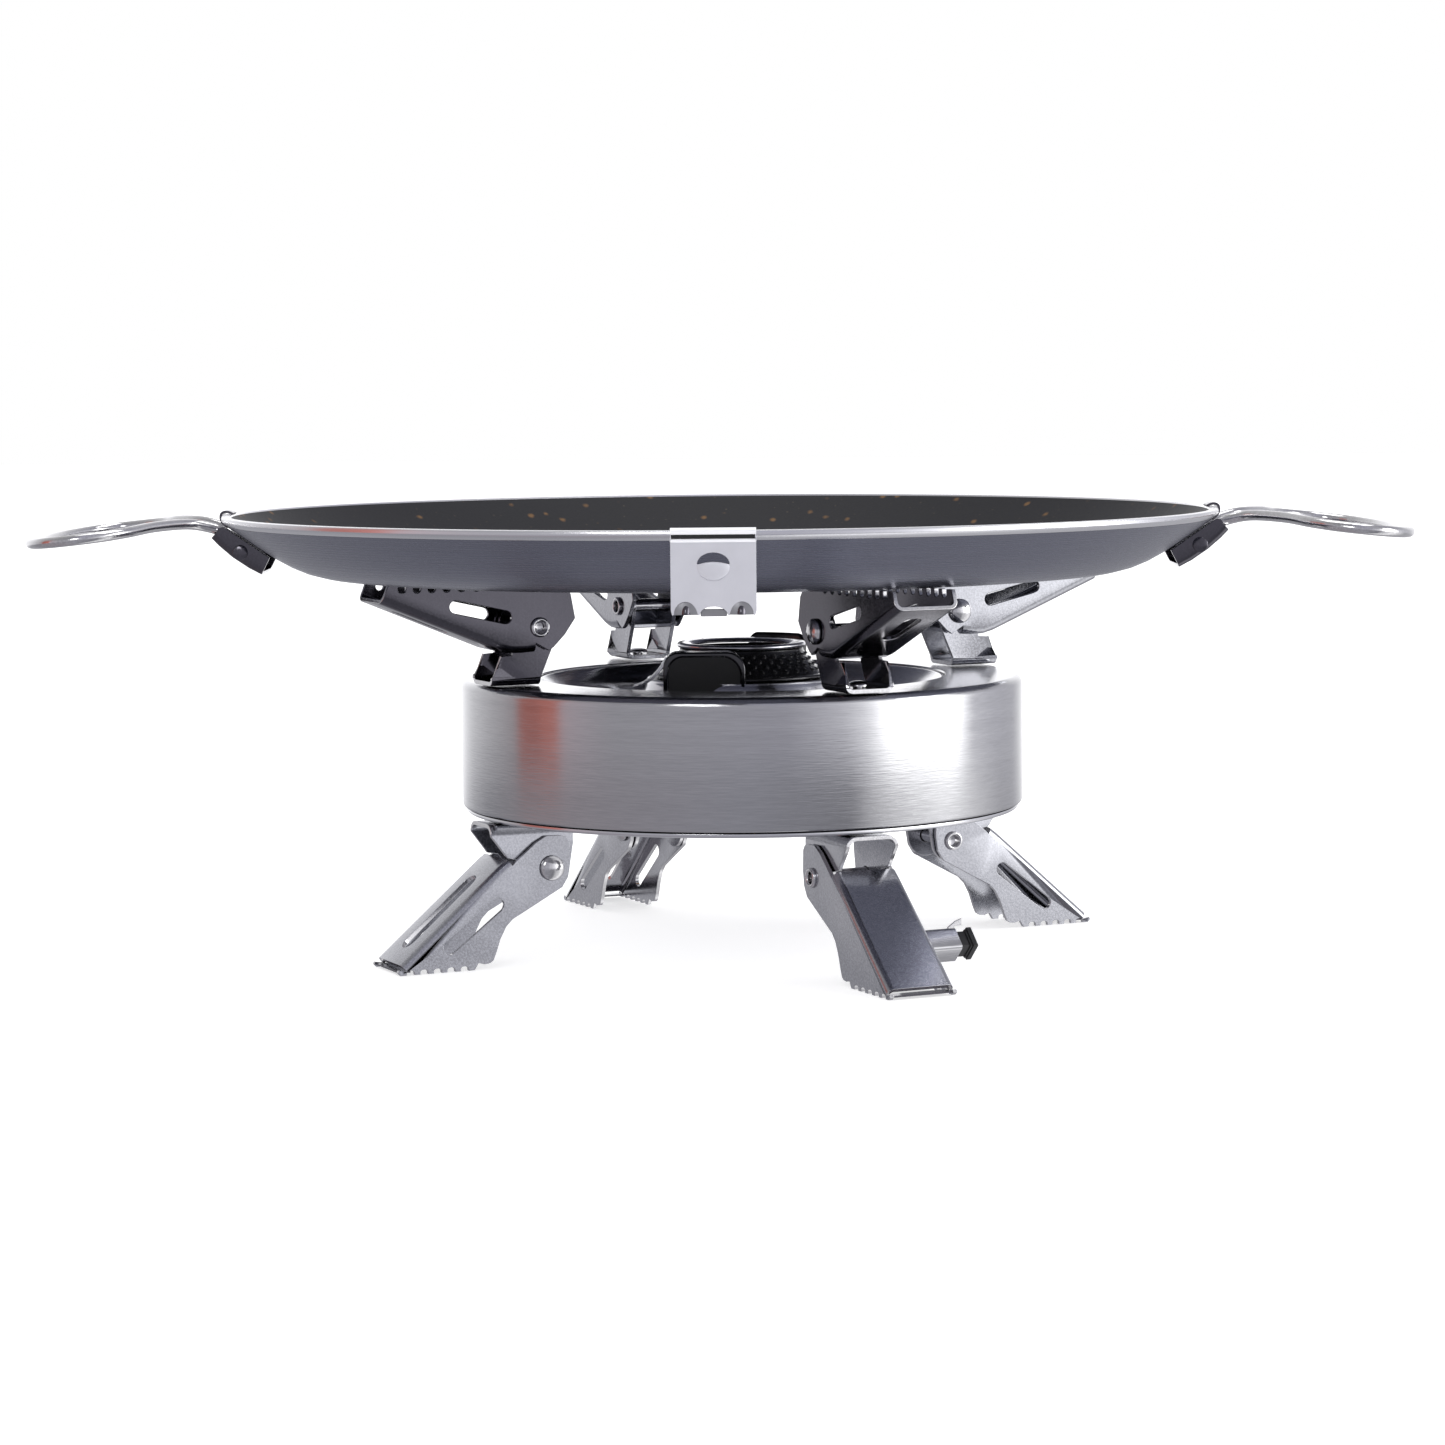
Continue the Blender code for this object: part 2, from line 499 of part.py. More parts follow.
def pan_wall(height):
    """Radius of the pan's outer wall at a height above its knuckle."""
    low, high = (126.0, 112.6), (139.6, 122.3)
    return low[0] + (height - low[1]) * (high[0] - low[0]) / (high[1] - low[1])


def make_pan():
    """The pan: a shallow dish of one wall thickness with a machined rim."""
    outside = [(0, PAN_UNDERSIDE), (PAN_FLAT, PAN_UNDERSIDE), (118.0, 108.9), (126.0, 112.6), (139.6, 122.3),
               (PAN_RIM, 123.6), (PAN_RIM, PAN_TOP)]
    inside = [(139.2, PAN_TOP), (138.2, 124.0), (124.8, 114.5), (117.4, 111.1), (PAN_FLAT, PAN_FLOOR),
              (0, PAN_FLOOR)]
    place("pan_body", lathe(outside + inside, PAN_STEPS), "pan_coating")


def clip_mesh(outline, inside):
    """A channel-shaped clip from its cheek outline, hollowed by the inside outline."""
    return combine(prism(outline, CLIP_HALF_WIDTH), [prism(inside, CLIP_HALF_WIDTH - CLIP_SHEET)])


def make_clips():
    """The three clips on the rim: two that hold the wire handles and an empty one at the front."""
    wall_top, wall_low = pan_wall(121.2) + 0.8, pan_wall(112.9) + 0.8
    side = [(wall_low, 112.9), (wall_top, 121.2), (143.9, 118.3), (129.8, 107.8)]
    across, up = (143.9 - 129.8), (118.3 - 107.8)
    length = math.hypot(across, up)
    step = (-CLIP_SHEET * up / length, CLIP_SHEET * across / length)
    outer_low = (129.8 + step[0] - across, 107.8 + step[1] - up)
    outer_high = (143.9 + step[0] + across, 118.3 + step[1] + up)
    side_inside = [outer_low, outer_high, (outer_high[0] - 30, outer_high[1] + 20),
                   (outer_low[0] - 30, outer_low[1] + 20)]
    side_clip = clip_mesh(side, side_inside)
    place("pan_clip_right", side_clip, "polished_steel", turn=0.0)
    place("pan_clip_left", side_clip, "polished_steel", turn=180.0)
    front = [(127.6, 113.1), (pan_wall(121.8) + 0.8, 121.8), (141.5, 122.6), (142.9, 124.6), (143.4, 124.0),
             (141.4, 103.8), (139.6, 103.8)]
    front_inside = [(100.0, 90.0), (100.0, 140.0), (142.4, 140.0), (142.4, 123.2), (140.4, 103.8), (140.4, 90.0)]
    front_azimuth = 270.0 + math.degrees(math.asin(FRONT_CLIP_X / PAN_RIM))
    place("pan_clip_front", clip_mesh(front, front_inside), "polished_steel", turn=front_azimuth)


def smooth_path(points):
    """Catmull-Rom curve through the points, as a list of points."""
    path = []
    padded = [points[0]] + points + [points[-1]]
    for a, b, c, d in zip(padded, padded[1:], padded[2:], padded[3:]):
        for k in range(WIRE_STEPS_PER_SPAN):
            t = k / WIRE_STEPS_PER_SPAN
            path.append(tuple(
                0.5 * (2 * q + (r - p) * t + (2 * p - 5 * q + 4 * r - s) * t * t + (3 * q - p - 3 * r + s) * t ** 3)
                for p, q, r, s in zip(a, b, c, d)))
    return path + [points[-1]]


def make_handles():
    """The two wire handles: a wide loop whose ends run down inside a clip."""
    half = [(130.7, 7.6, 113.0), (135.5, 7.6, 116.45), (140.4, 7.7, 119.9), (145.3, 9.2, 121.7),
            (150.5, 13.0, 122.4), (157.5, 25.0, 122.0),
            (163.0, 37.0, 121.3), (169.5, 43.8, 120.4), (178.5, 45.6, 119.4), (186.0, 40.5, 118.6),
            (191.2, 28.0, 118.0), (193.8, 14.0, 117.7)]
    loop = half + [(194.5, 0.0, 117.6)] + [(x, -y, z) for x, y, z in reversed(half)]
    path = smooth_path(loop)
    for name, turn in (("right", 0.0), ("left", 180.0)):
        curve = bpy.data.curves.new(f"wire_{name}", "CURVE")
        curve.dimensions = "3D"
        curve.bevel_depth = WIRE_RADIUS * MM
        curve.bevel_resolution = 1
        curve.use_fill_caps = True
        spline = curve.splines.new("POLY")
        spline.points.add(len(path) - 1)
        for point, place_at in zip(spline.points, path):
            point.co = (*(Vector(place_at) * MM), 1.0)
        curve.materials.append(finish_material("polished_steel"))
        handle = bpy.data.objects.new(f"wire_handle_{name}", curve)
        handle.rotation_euler.z = math.radians(turn)
        bpy.context.scene.collection.objects.link(handle)


def main():
    """Build every node."""
    clear_scene()
    make_drum()
    make_burner()
    make_gas_way()
    make_legs()
    make_supports()
    make_igniter()
    make_pan()
    make_clips()
    make_handles()


if __name__ == "__main__":
    main()
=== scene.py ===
"""The looks of a portable gas stove with a wide pan: fine sheet metal, wire, turned pieces and their finishes.

The frame gives the joints, the bodies and the box of every solid. Each class below makes the pieces of one
sub-assembly as surfaces worked out with numpy, in millimetres, and dresses them. Sheet pieces are bent channels:
a web with round bends into two cheeks, given their thickness by Solidify and their broken edges by Bevel.
"""

import json
import logging
import math
from dataclasses import dataclass, field
from enum import Enum
from typing import Any, Callable, Sequence

import bmesh
import bpy
import numpy as np
from mathutils import Matrix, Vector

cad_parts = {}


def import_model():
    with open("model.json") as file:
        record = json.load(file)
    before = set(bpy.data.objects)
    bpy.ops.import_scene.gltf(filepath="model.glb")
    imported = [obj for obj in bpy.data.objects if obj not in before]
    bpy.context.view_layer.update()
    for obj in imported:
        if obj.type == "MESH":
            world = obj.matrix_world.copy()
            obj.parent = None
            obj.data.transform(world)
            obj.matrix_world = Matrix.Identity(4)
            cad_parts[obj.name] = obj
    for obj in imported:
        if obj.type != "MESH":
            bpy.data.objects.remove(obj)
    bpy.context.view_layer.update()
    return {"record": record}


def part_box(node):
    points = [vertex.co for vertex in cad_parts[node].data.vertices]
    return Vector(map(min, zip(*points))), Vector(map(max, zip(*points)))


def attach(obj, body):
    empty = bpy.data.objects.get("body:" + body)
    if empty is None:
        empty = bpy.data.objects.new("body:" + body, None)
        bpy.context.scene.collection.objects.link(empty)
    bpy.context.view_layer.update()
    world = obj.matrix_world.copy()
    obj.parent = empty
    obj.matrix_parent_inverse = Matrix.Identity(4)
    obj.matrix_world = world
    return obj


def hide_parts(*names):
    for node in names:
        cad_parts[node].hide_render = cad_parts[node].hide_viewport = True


log = logging.getLogger("stove")
MM = 0.001
Array = np.ndarray
Loop = Sequence[tuple[float, float]]


# ----------------------------------------------------------------------------------------------------------------
# Shader building
# ----------------------------------------------------------------------------------------------------------------


class Wire:
    """A shader socket that takes part in Python arithmetic by adding Math nodes."""

    def __init__(self, shop: "NodeShop", socket: Any) -> None:
        """Hold a socket of one node tree."""
        self.shop = shop
        self.socket = socket

    def _math(self, operation: str, *others: Any) -> "Wire":
        """Add a Math node that takes this socket first.

        Args:
            operation: the Math node's operation.
            others: its other inputs, as numbers or wires.

        Returns:
            The node's output.
        """
        inputs = dict(enumerate((self, *others)))
        return self.shop.node("ShaderNodeMath", {"operation": operation}, inputs)

    def __add__(self, other: Any) -> "Wire":
        """Sum."""
        return self._math("ADD", other)

    def __sub__(self, other: Any) -> "Wire":
        """Difference."""
        return self._math("SUBTRACT", other)

    def __mul__(self, other: Any) -> "Wire":
        """Product."""
        return self._math("MULTIPLY", other)

    def __rsub__(self, other: Any) -> "Wire":
        """A number less this."""
        return (self * -1.0) + other

    __radd__ = __add__
    __rmul__ = __mul__

    def below(self, limit: float) -> "Wire":
        """1 where this is below the limit and 0 elsewhere."""
        return self._math("LESS_THAN", limit)

    def root(self) -> "Wire":
        """Square root."""
        return self._math("SQRT")


class NodeShop:
    """One node tree, with a method that makes any node."""

    def __init__(self, tree: Any) -> None:
        """Work in a node tree."""
        self.tree = tree

    def plug(self, socket: Any, value: Any) -> None:
        """Link a wire to a socket, or set the socket's value."""
        if isinstance(value, Wire):
            self.tree.links.new(value.socket, socket)
        elif isinstance(value, tuple) and len(value) == 3 and socket.type == "RGBA":
            socket.default_value = (*value, 1.0)
        else:
            socket.default_value = value

    def node(self, kind: str, settings: dict[str, Any], inputs: dict[Any, Any], output: Any = 0) -> Wire:
        """Make a node.

        Args:
            kind: the node's type.
            settings: attributes set first; "stops" holds a ramp's (position, color) pairs.
            inputs: values or wires, by the socket's name or number.
            output: the name or number of the output to return, or None where the node has none.

        Returns:
            That output.
        """
        made = self.tree.nodes.new(kind)
        for key, value in settings.items():
            if key == "stops":
                elements = made.color_ramp.elements
                while len(elements) < len(value):
                    elements.new(0.5)
                for element, (place, color) in zip(elements, value):
                    element.position = place
                    element.color = (*color, 1.0)
            else:
                setattr(made, key, value)
        for key, value in inputs.items():
            self.plug(made.inputs[key], value)
        return None if output is None else Wire(self, made.outputs[output])

    def blend(self, factor: Any, first: Any, second: Any) -> Wire:
        """Mix two colours."""
        inputs = {"Factor": factor, 6: first, 7: second}
        return self.node("ShaderNodeMix", {"data_type": "RGBA"}, inputs, 2)

    def split(self, vector: Wire) -> tuple[Wire, Wire, Wire]:
        """The three parts of a vector."""
        parts = self.tree.nodes.new("ShaderNodeSeparateXYZ")
        self.plug(parts.inputs[0], vector)
        return tuple(Wire(self, output) for output in parts.outputs)

    def ramp(self, factor: Wire, stops: Sequence[tuple[float, tuple[float, float, float]]]) -> Wire:
        """A colour by position along a row of stops."""
        return self.node("ShaderNodeValToRGB", {"stops": stops}, {0: factor})

    def ease(self, value: Wire, start: float, end: float) -> Wire:
        """0 before start and 1 after end, with a smooth step between them."""
        inputs = {0: value, 1: start, 2: end, 3: 0.0, 4: 1.0}
        return self.node("ShaderNodeMapRange", {"interpolation_type": "SMOOTHSTEP"}, inputs)


class Shader(NodeShop):
    """One material around a Principled BSDF."""

    def __init__(self, name: str) -> None:
        """Start a material."""
        self.material = bpy.data.materials.new(name)
        self.material.use_nodes = True
        super().__init__(self.material.node_tree)
        self.surface = self.tree.nodes["Principled BSDF"]
        self._position: Wire | None = None

    def position(self) -> Wire:
        """The point on the piece in its own space, in metres."""
        if self._position is None:
            self._position = self.node("ShaderNodeTexCoord", {}, {}, "Object")
        return self._position

    def stretched(self, scale: tuple[float, float, float]) -> Wire:
        """The point scaled by a different amount along each axis, for a pattern that is drawn out."""
        return self.node("ShaderNodeMapping", {}, {"Vector": self.position(), "Scale": scale})

    def noise(self, vector: Wire, scale: float, detail: float = 3.0, rough: float = 0.5) -> Wire:
        """Noise from 0 to 1."""
        inputs = {"Vector": vector, "Scale": scale, "Detail": detail, "Roughness": rough}
        return self.node("ShaderNodeTexNoise", {}, inputs, "Fac")

    def bump(self, height: Wire, distance: float, strength: float = 1.0) -> None:
        """Raise the surface by a height, in metres at a height of 1."""
        normal = self.node("ShaderNodeBump", {}, {"Height": height, "Distance": distance, "Strength": strength})
        self.plug(self.surface.inputs["Normal"], normal)

    def axis_distance(self, axis_x: float) -> tuple[Wire, Wire]:
        """Distance from the upright axis at (axis_x, 0), and height, in metres."""
        x, y, z = self.split(self.position())
        across = x - axis_x
        return (across * across + y * y).root(), z

    def set(self, **values: Any) -> None:
        """Set the surface's inputs, named in lower case with underscores."""
        names = {socket.name.lower().replace(" ", "_"): socket for socket in self.surface.inputs}
        for key, value in values.items():
            self.plug(names[key], value)


class Finish(Enum):
    """The finishes, by the record's slot that each stands for."""

    BRUSHED = "drum_steel"
    BRIGHT = "bright_steel"
    ENAMEL = "black_enamel"
    BRASS = "brass"
    PLASTIC = "black_plastic"
    PAN = "pan_aluminium"
    CERAMIC = "ceramic"


@dataclass(frozen=True)
class BrushedSteel:
    """Stainless steel with fine scratches drawn round an upright axis."""

    name: str = "brushed_stainless"
    color: tuple[float, float, float] = (0.68, 0.68, 0.69)
    dark: tuple[float, float, float] = (0.45, 0.45, 0.46)
    roughness: float = 0.155
    grain: float = 2600.0

    def build(self) -> Any:
        """Make the material.

        Returns:
            The material.
        """
        shader = Shader(self.name)
        fine = shader.noise(shader.stretched((170.0, 170.0, self.grain)), 1.0, 2.0, 0.6)
        broad = shader.noise(shader.stretched((5.0, 5.0, 420.0)), 1.0, 2.0, 0.6)
        cloud = shader.noise(shader.position(), 22.0, 2.0)
        streak = fine * 0.6 + broad * 0.4
        shader.set(
            base_color=shader.blend(streak, self.dark, self.color),
            metallic=1.0,
            roughness=self.roughness - 0.09 + streak * 0.14 + cloud * 0.05,
        )
        shader.bump(streak, 0.00005, 0.6)
        return shader.material


@dataclass(frozen=True)
class BrightSheet:
    """Tumbled stainless sheet: bright, with a fine grain and slow waves that bend what it mirrors."""

    name: str = "bright_stainless"
    color: tuple[float, float, float] = (0.54, 0.545, 0.575)
    roughness: float = 0.14
    grain: float = 1700.0
    wave: float = 90.0
    contrast: float = 0.80

    def build(self) -> Any:
        """Make the material.

        Returns:
            The material.
        """
        shader = Shader(self.name)
        speck = shader.ease(shader.noise(shader.position(), self.grain, 2.0, 0.65), 0.32, 0.70)
        wave = shader.noise(shader.position(), self.wave, 1.0, 0.4)
        rub = shader.noise(shader.stretched((900.0, 900.0, 160.0)), 1.0, 2.0, 0.5)
        shader.set(
            base_color=shader.blend(speck, tuple(c * self.contrast for c in self.color), self.color),
            metallic=1.0,
            roughness=self.roughness + speck * 0.07 + rub * 0.06 - 0.03,
        )
        shader.bump(speck * 0.04 + wave, 0.00016, 0.35)
        return shader.material


@dataclass(frozen=True)
class MirrorPlate:
    """Polished steel with faint turned rings round an upright axis."""

    axis_x: float
    name: str = "mirror_plate"
    color: tuple[float, float, float] = (0.70, 0.70, 0.72)
    roughness: float = 0.09

    def build(self) -> Any:
        """Make the material.

        Returns:
            The material.
        """
        shader = Shader(self.name)
        radius, height = shader.axis_distance(self.axis_x)
        line = shader.node("ShaderNodeCombineXYZ", {}, {0: (radius + height) * 1800.0})
        rings = shader.noise(line, 1.0, 2.0, 0.6)
        wear = shader.noise(shader.position(), 60.0, 3.0)
        shader.set(base_color=self.color, metallic=1.0, roughness=self.roughness + rings * 0.05 + wear * 0.08)
        shader.bump(rings, 0.00003, 0.35)
        return shader.material


@dataclass(frozen=True)
class BlackEnamel:
    """Glossy black heat-proof enamel with a slight orange peel and greyer, dusty patches."""

    name: str = "black_enamel"
    color: tuple[float, float, float] = (0.010, 0.010, 0.011)
    dusty: tuple[float, float, float] = (0.026, 0.026, 0.028)
    roughness: float = 0.20

    def build(self) -> Any:
        """Make the material.

        Returns:
            The material.
        """
        shader = Shader(self.name)
        peel = shader.noise(shader.position(), 900.0, 2.0)
        dust = shader.noise(shader.position(), 120.0, 4.0, 0.6)
        shader.set(
            base_color=shader.blend(dust, self.color, self.dusty),
            metallic=0.35,
            roughness=self.roughness + dust * 0.14 - 0.05,
            coat_weight=0.5,
            coat_roughness=0.12,
        )
        shader.bump(peel, 0.00006, 0.3)
        return shader.material


@dataclass(frozen=True)
class SpunAnodised:
    """The pan's outside: dark blue-grey anodised aluminium with turned rings."""

    name: str = "spun_anodised"
    color: tuple[float, float, float] = (0.215, 0.220, 0.275)
    dark: tuple[float, float, float] = (0.135, 0.140, 0.180)
    roughness: float = 0.27

    def build(self) -> Any:
        """Make the material.

        Returns:
            The material.
        """
        shader = Shader(self.name)
        radius, height = shader.axis_distance(0.0)
        drawn = shader.stretched((1.5, 1.5, 0.0))
        line = shader.node("ShaderNodeCombineXYZ", {}, {2: (radius + height) * 1500.0})
        along = shader.node("ShaderNodeVectorMath", {"operation": "ADD"}, {0: drawn, 1: line})
        rings = shader.noise(along, 1.0, 3.0, 0.65)
        cloud = shader.noise(shader.position(), 14.0, 2.0)
        shader.set(
            base_color=shader.blend(rings * 0.7 + cloud * 0.3, self.dark, self.color),
            metallic=0.9,
            roughness=self.roughness - 0.06 + rings * 0.12,
        )
        shader.bump(rings, 0.00006, 0.8)
        return shader.material


@dataclass(frozen=True)
class FleckedCoating:
    """The pan's inside: dark non-stick coating with copper and pale flecks."""

    name: str = "flecked_coating"
    color: tuple[float, float, float] = (0.018, 0.018, 0.021)
    copper: tuple[float, float, float] = (0.135, 0.075, 0.034)
    pale: tuple[float, float, float] = (0.040, 0.034, 0.030)

    def flecks(self, shader: Shader, scale: float, size: float, share: float) -> Wire:
        """A mask of scattered spots.

        Args:
            shader: the material.
            scale: cells to the metre.
            size: the spots' radius, in cells.
            share: the share of cells that hold a spot.

        Returns:
            1 on a spot and 0 elsewhere.
        """
        bent = shader.noise(shader.position(), scale * 1.6, 2.0)
        inputs = {"Vector": shader.position(), "Scale": scale}
        distance = shader.node("ShaderNodeTexVoronoi", {}, inputs, "Distance")
        color = shader.node("ShaderNodeTexVoronoi", {}, inputs, "Color")
        pick = shader.node("ShaderNodeSeparateColor", {}, {0: color})
        return shader.ease(distance + bent * 0.3, size, size * 0.5) * pick.below(share)

    def build(self) -> Any:
        """Make the material.

        Returns:
            The material.
        """
        shader = Shader(self.name)
        copper = self.flecks(shader, 180.0, 0.40, 0.36)
        specks = self.flecks(shader, 520.0, 0.40, 0.22)
        grain = shader.noise(shader.position(), 1400.0, 2.0)
        ground = shader.blend(specks, self.color, self.pale)
        shader.set(
            base_color=shader.blend(copper, ground, self.copper),
            metallic=0.0,
            roughness=0.42 + grain * 0.12,
            specular_ior_level=0.10,
        )
        shader.bump(grain, 0.00008, 0.4)
        return shader.material


@dataclass(frozen=True)
class PlainStuff:
    """A material with a grain in its roughness and surface: plastic, ceramic, brass or dull steel."""

    name: str
    color: tuple[float, float, float]
    roughness: float
    metallic: float = 0.0
    grain: float = 1500.0
    vary: float = 0.85

    def build(self) -> Any:
        """Make the material.

        Returns:
            The material.
        """
        shader = Shader(self.name)
        grain = shader.noise(shader.position(), self.grain, 3.0, 0.6)
        cloud = shader.noise(shader.position(), 160.0, 2.0)
        low = tuple(c * self.vary for c in self.color)
        shader.set(
            base_color=shader.blend(cloud, low, self.color),
            metallic=self.metallic,
            roughness=self.roughness - 0.04 + grain * 0.12,
        )
        shader.bump(grain, 0.00006, 0.35)
        return shader.material


class Palette:
    """Every material, made once."""

    def __init__(self, axis_x: float) -> None:
        """Make the materials for a stove whose axis stands at axis_x metres."""
        self.brushed = BrushedSteel().build()
        self.bright = BrightSheet().build()
        # Painted shade: a near-black copy of the bright steel, for pieces that look dark because they sit in shade or
        # mirror the dark room.
        self.shade_dark = BrightSheet("heat_tinted_stainless", (0.135, 0.13, 0.148), 0.13, 1700.0, 70.0, 0.85).build()
        self.satin = PlainStuff("satin_steel", (0.60, 0.60, 0.655), 0.32, 0.4, 1200.0, 0.86).build()
        self.pale = PlainStuff("pale_fold", (0.88, 0.88, 0.92), 0.28, 0.3, 1200.0, 0.9).build()
        self.glaze = PlainStuff("glazed_black", (0.10, 0.10, 0.105), 0.10, 1.0, 900.0, 0.6).build()
        # Painted shade: a mid-grey satin for the front clip's gussets and tab, which face down, away from the light.
        self.shade_grey = PlainStuff("worn_satin", (0.27, 0.27, 0.29), 0.34, 0.6, 1200.0, 0.8).build()
        self.mirror = MirrorPlate(axis_x).build()
        self.enamel = BlackEnamel().build()
        self.pan_outside = SpunAnodised().build()
        self.pan_inside = FleckedCoating().build()
        self.rim = MirrorPlate(0.0, "turned_rim", (0.82, 0.82, 0.84), 0.16).build()
        self.wire = BrightSheet("wire_steel", (0.74, 0.735, 0.74), 0.10, 1800.0, 60.0, 0.85).build()
        self.brass = PlainStuff("turned_brass", (0.72, 0.50, 0.22), 0.26, 1.0).build()
        self.plastic = PlainStuff("black_moulding", (0.014, 0.014, 0.015), 0.38, 0.0, 2200.0).build()
        self.ceramic = PlainStuff("white_ceramic", (0.82, 0.81, 0.77), 0.28, 0.0, 700.0, 0.94).build()


# ----------------------------------------------------------------------------------------------------------------
# Surfaces
# ----------------------------------------------------------------------------------------------------------------


@dataclass
class Surface:
    """Points in millimetres, with the faces between them."""

    points: Array
    faces: list[tuple[int, ...]]

    def moved(self, place: Callable[[Array], Array]) -> "Surface":
        """The same surface with its points moved."""
        return Surface(place(self.points), self.faces)


def joined(surfaces: Sequence[Surface]) -> Surface:
    """Put several surfaces into one.

    Args:
        surfaces: the surfaces.

    Returns:
        One surface that holds all of them.
    """
    starts = np.cumsum([0] + [len(s.points) for s in surfaces])
    faces = [tuple(i + int(start) for i in face) for s, start in zip(surfaces, starts) for face in s.faces]
    return Surface(np.concatenate([s.points for s in surfaces]), faces)


def grid(points: Array, wrap_u: bool = False, wrap_v: bool = False) -> Surface:
    """Faces between the neighbours of a grid of points.

    Args:
        points: an array of rows by columns by 3.
        wrap_u: whether the last row joins the first.
        wrap_v: whether the last column joins the first.

    Returns:
        The surface.
    """
    rows, columns = points.shape[:2]
    u = np.arange(rows if wrap_u else rows - 1)
    v = np.arange(columns if wrap_v else columns - 1)
    u, v = (a.ravel() for a in np.meshgrid(u, v, indexing="ij"))
    after_u, after_v = (u + 1) % rows, (v + 1) % columns
    quads = np.stack([u * columns + v, after_u * columns + v, after_u * columns + after_v, u * columns + after_v], 1)
    return Surface(points.reshape(-1, 3), [tuple(q) for q in quads.tolist()])


def turned(profile: Loop, steps: int = 96, around: tuple[float, float] = (0.0, 0.0)) -> Surface:
    """Turn a closed profile about an upright axis: x = r cos a, y = r sin a, z = height.

    Args:
        profile: (radius, height) points of a closed outline.
        steps: how many steps make the round.
        around: where the axis stands.

    Returns:
        A closed surface.
    """
    r, z = np.array(profile, float).T
    angle = np.linspace(0, 2 * np.pi, steps, endpoint=False)
    x = r[:, None] * np.cos(angle) + around[0]
    y = r[:, None] * np.sin(angle) + around[1]
    return grid(np.stack([x, y, np.repeat(z[:, None], steps, 1)], 2), True, True)


def swept_arc(center: tuple[float, float], radius: float, start: float, end: float, steps: int = 8) -> list:
    """Points on a circle from start to end degrees."""
    a = np.radians(np.linspace(start, end, steps + 1))
    return list(zip(center[0] + radius * np.cos(a), center[1] + radius * np.sin(a)))


def rounded(loop: Loop, radius: float, steps: int = 4) -> list:
    """Round every corner of a closed outline.

    Each corner becomes the curve (1-t)^2 a + 2t(1-t) b + t^2 c, where b is the corner and a and c lie on its two
    sides, a radius away or a third of the side if that is shorter.

    Args:
        loop: the outline's corners.
        radius: how far from its corner each curve starts.
        steps: how many steps make a curve.

    Returns:
        The rounded outline.
    """
    corners = np.array(loop, float)
    t = np.linspace(0, 1, steps + 1)[None, :, None]

    def towards(other: Array) -> Array:
        gap = other - corners
        length = np.linalg.norm(gap, axis=1, keepdims=True)
        return corners + gap * np.minimum(radius / length, 1 / 3)

    a, c = towards(np.roll(corners, 1, 0))[:, None], towards(np.roll(corners, -1, 0))[:, None]
    curve = (1 - t) ** 2 * a + 2 * t * (1 - t) * corners[:, None] + t ** 2 * c
    return [tuple(p) for p in curve.reshape(-1, 2)]


def long_hole(start: tuple[float, float], end: tuple[float, float], half: float, steps: int = 10) -> list:
    """The outline of a hole with round ends, from one end's centre to the other's."""
    tilt = math.degrees(math.atan2(end[1] - start[1], end[0] - start[0]))
    return swept_arc(end, half, tilt - 90, tilt + 90, steps) + swept_arc(start, half, tilt + 90, tilt + 270, steps)


def round_hole(center: tuple[float, float], radius: float, steps: int = 28) -> list:
    """The outline of a round hole."""
    return swept_arc(center, radius, 0, 360, steps)[:-1]


def scalloped(start: tuple[float, float], end: tuple[float, float], count: int, radius: float, depth: float,
              side: float) -> list:
    """A straight edge with round-ended bites out of it.

    Args:
        start: the edge's first point.
        end: its last point.
        count: how many bites.
        radius: half of their width.
        depth: how far they reach in.
        side: +1 where they go to the left of the edge's direction, -1 to the right.

    Returns:
        The points between start and end, both left out.
    """
    first, last = np.array(start, float), np.array(end, float)
    along = (last - first) / np.linalg.norm(last - first)
    across = np.array([-along[1], along[0]]) * side
    middles = first + (last - first) * ((np.arange(count) + 0.75) / (count + 0.5))[:, None]
    a = np.radians(np.linspace(180, 0, 11))
    bite = np.cos(a)[:, None] * along * radius + np.sqrt(np.sin(a))[:, None] * across * depth
    return [tuple(p) for p in (middles[:, None] + bite).reshape(-1, 2)]


def filled(loops: Sequence[Loop], lift: Callable[[Array], Array]) -> Surface:
    """Fill a flat outline that may have holes.

    Args:
        loops: the outer outline, then the holes.
        lift: turns points of the flat into points in space.

    Returns:
        The filled surface, in triangles.
    """
    shape = bmesh.new()
    edges = []
    for loop in loops:
        corners = [shape.verts.new((x, y, 0)) for x, y in loop]
        edges += [shape.edges.new((a, b)) for a, b in zip(corners, corners[1:] + corners[:1])]
    bmesh.ops.triangle_fill(shape, use_beauty=True, use_dissolve=False, edges=edges)
    shape.verts.index_update()
    flat = np.array([v.co[:2] for v in shape.verts], float)
    faces = [tuple(v.index for v in face.verts) for face in shape.faces]
    shape.free()
    return Surface(lift(flat), faces)


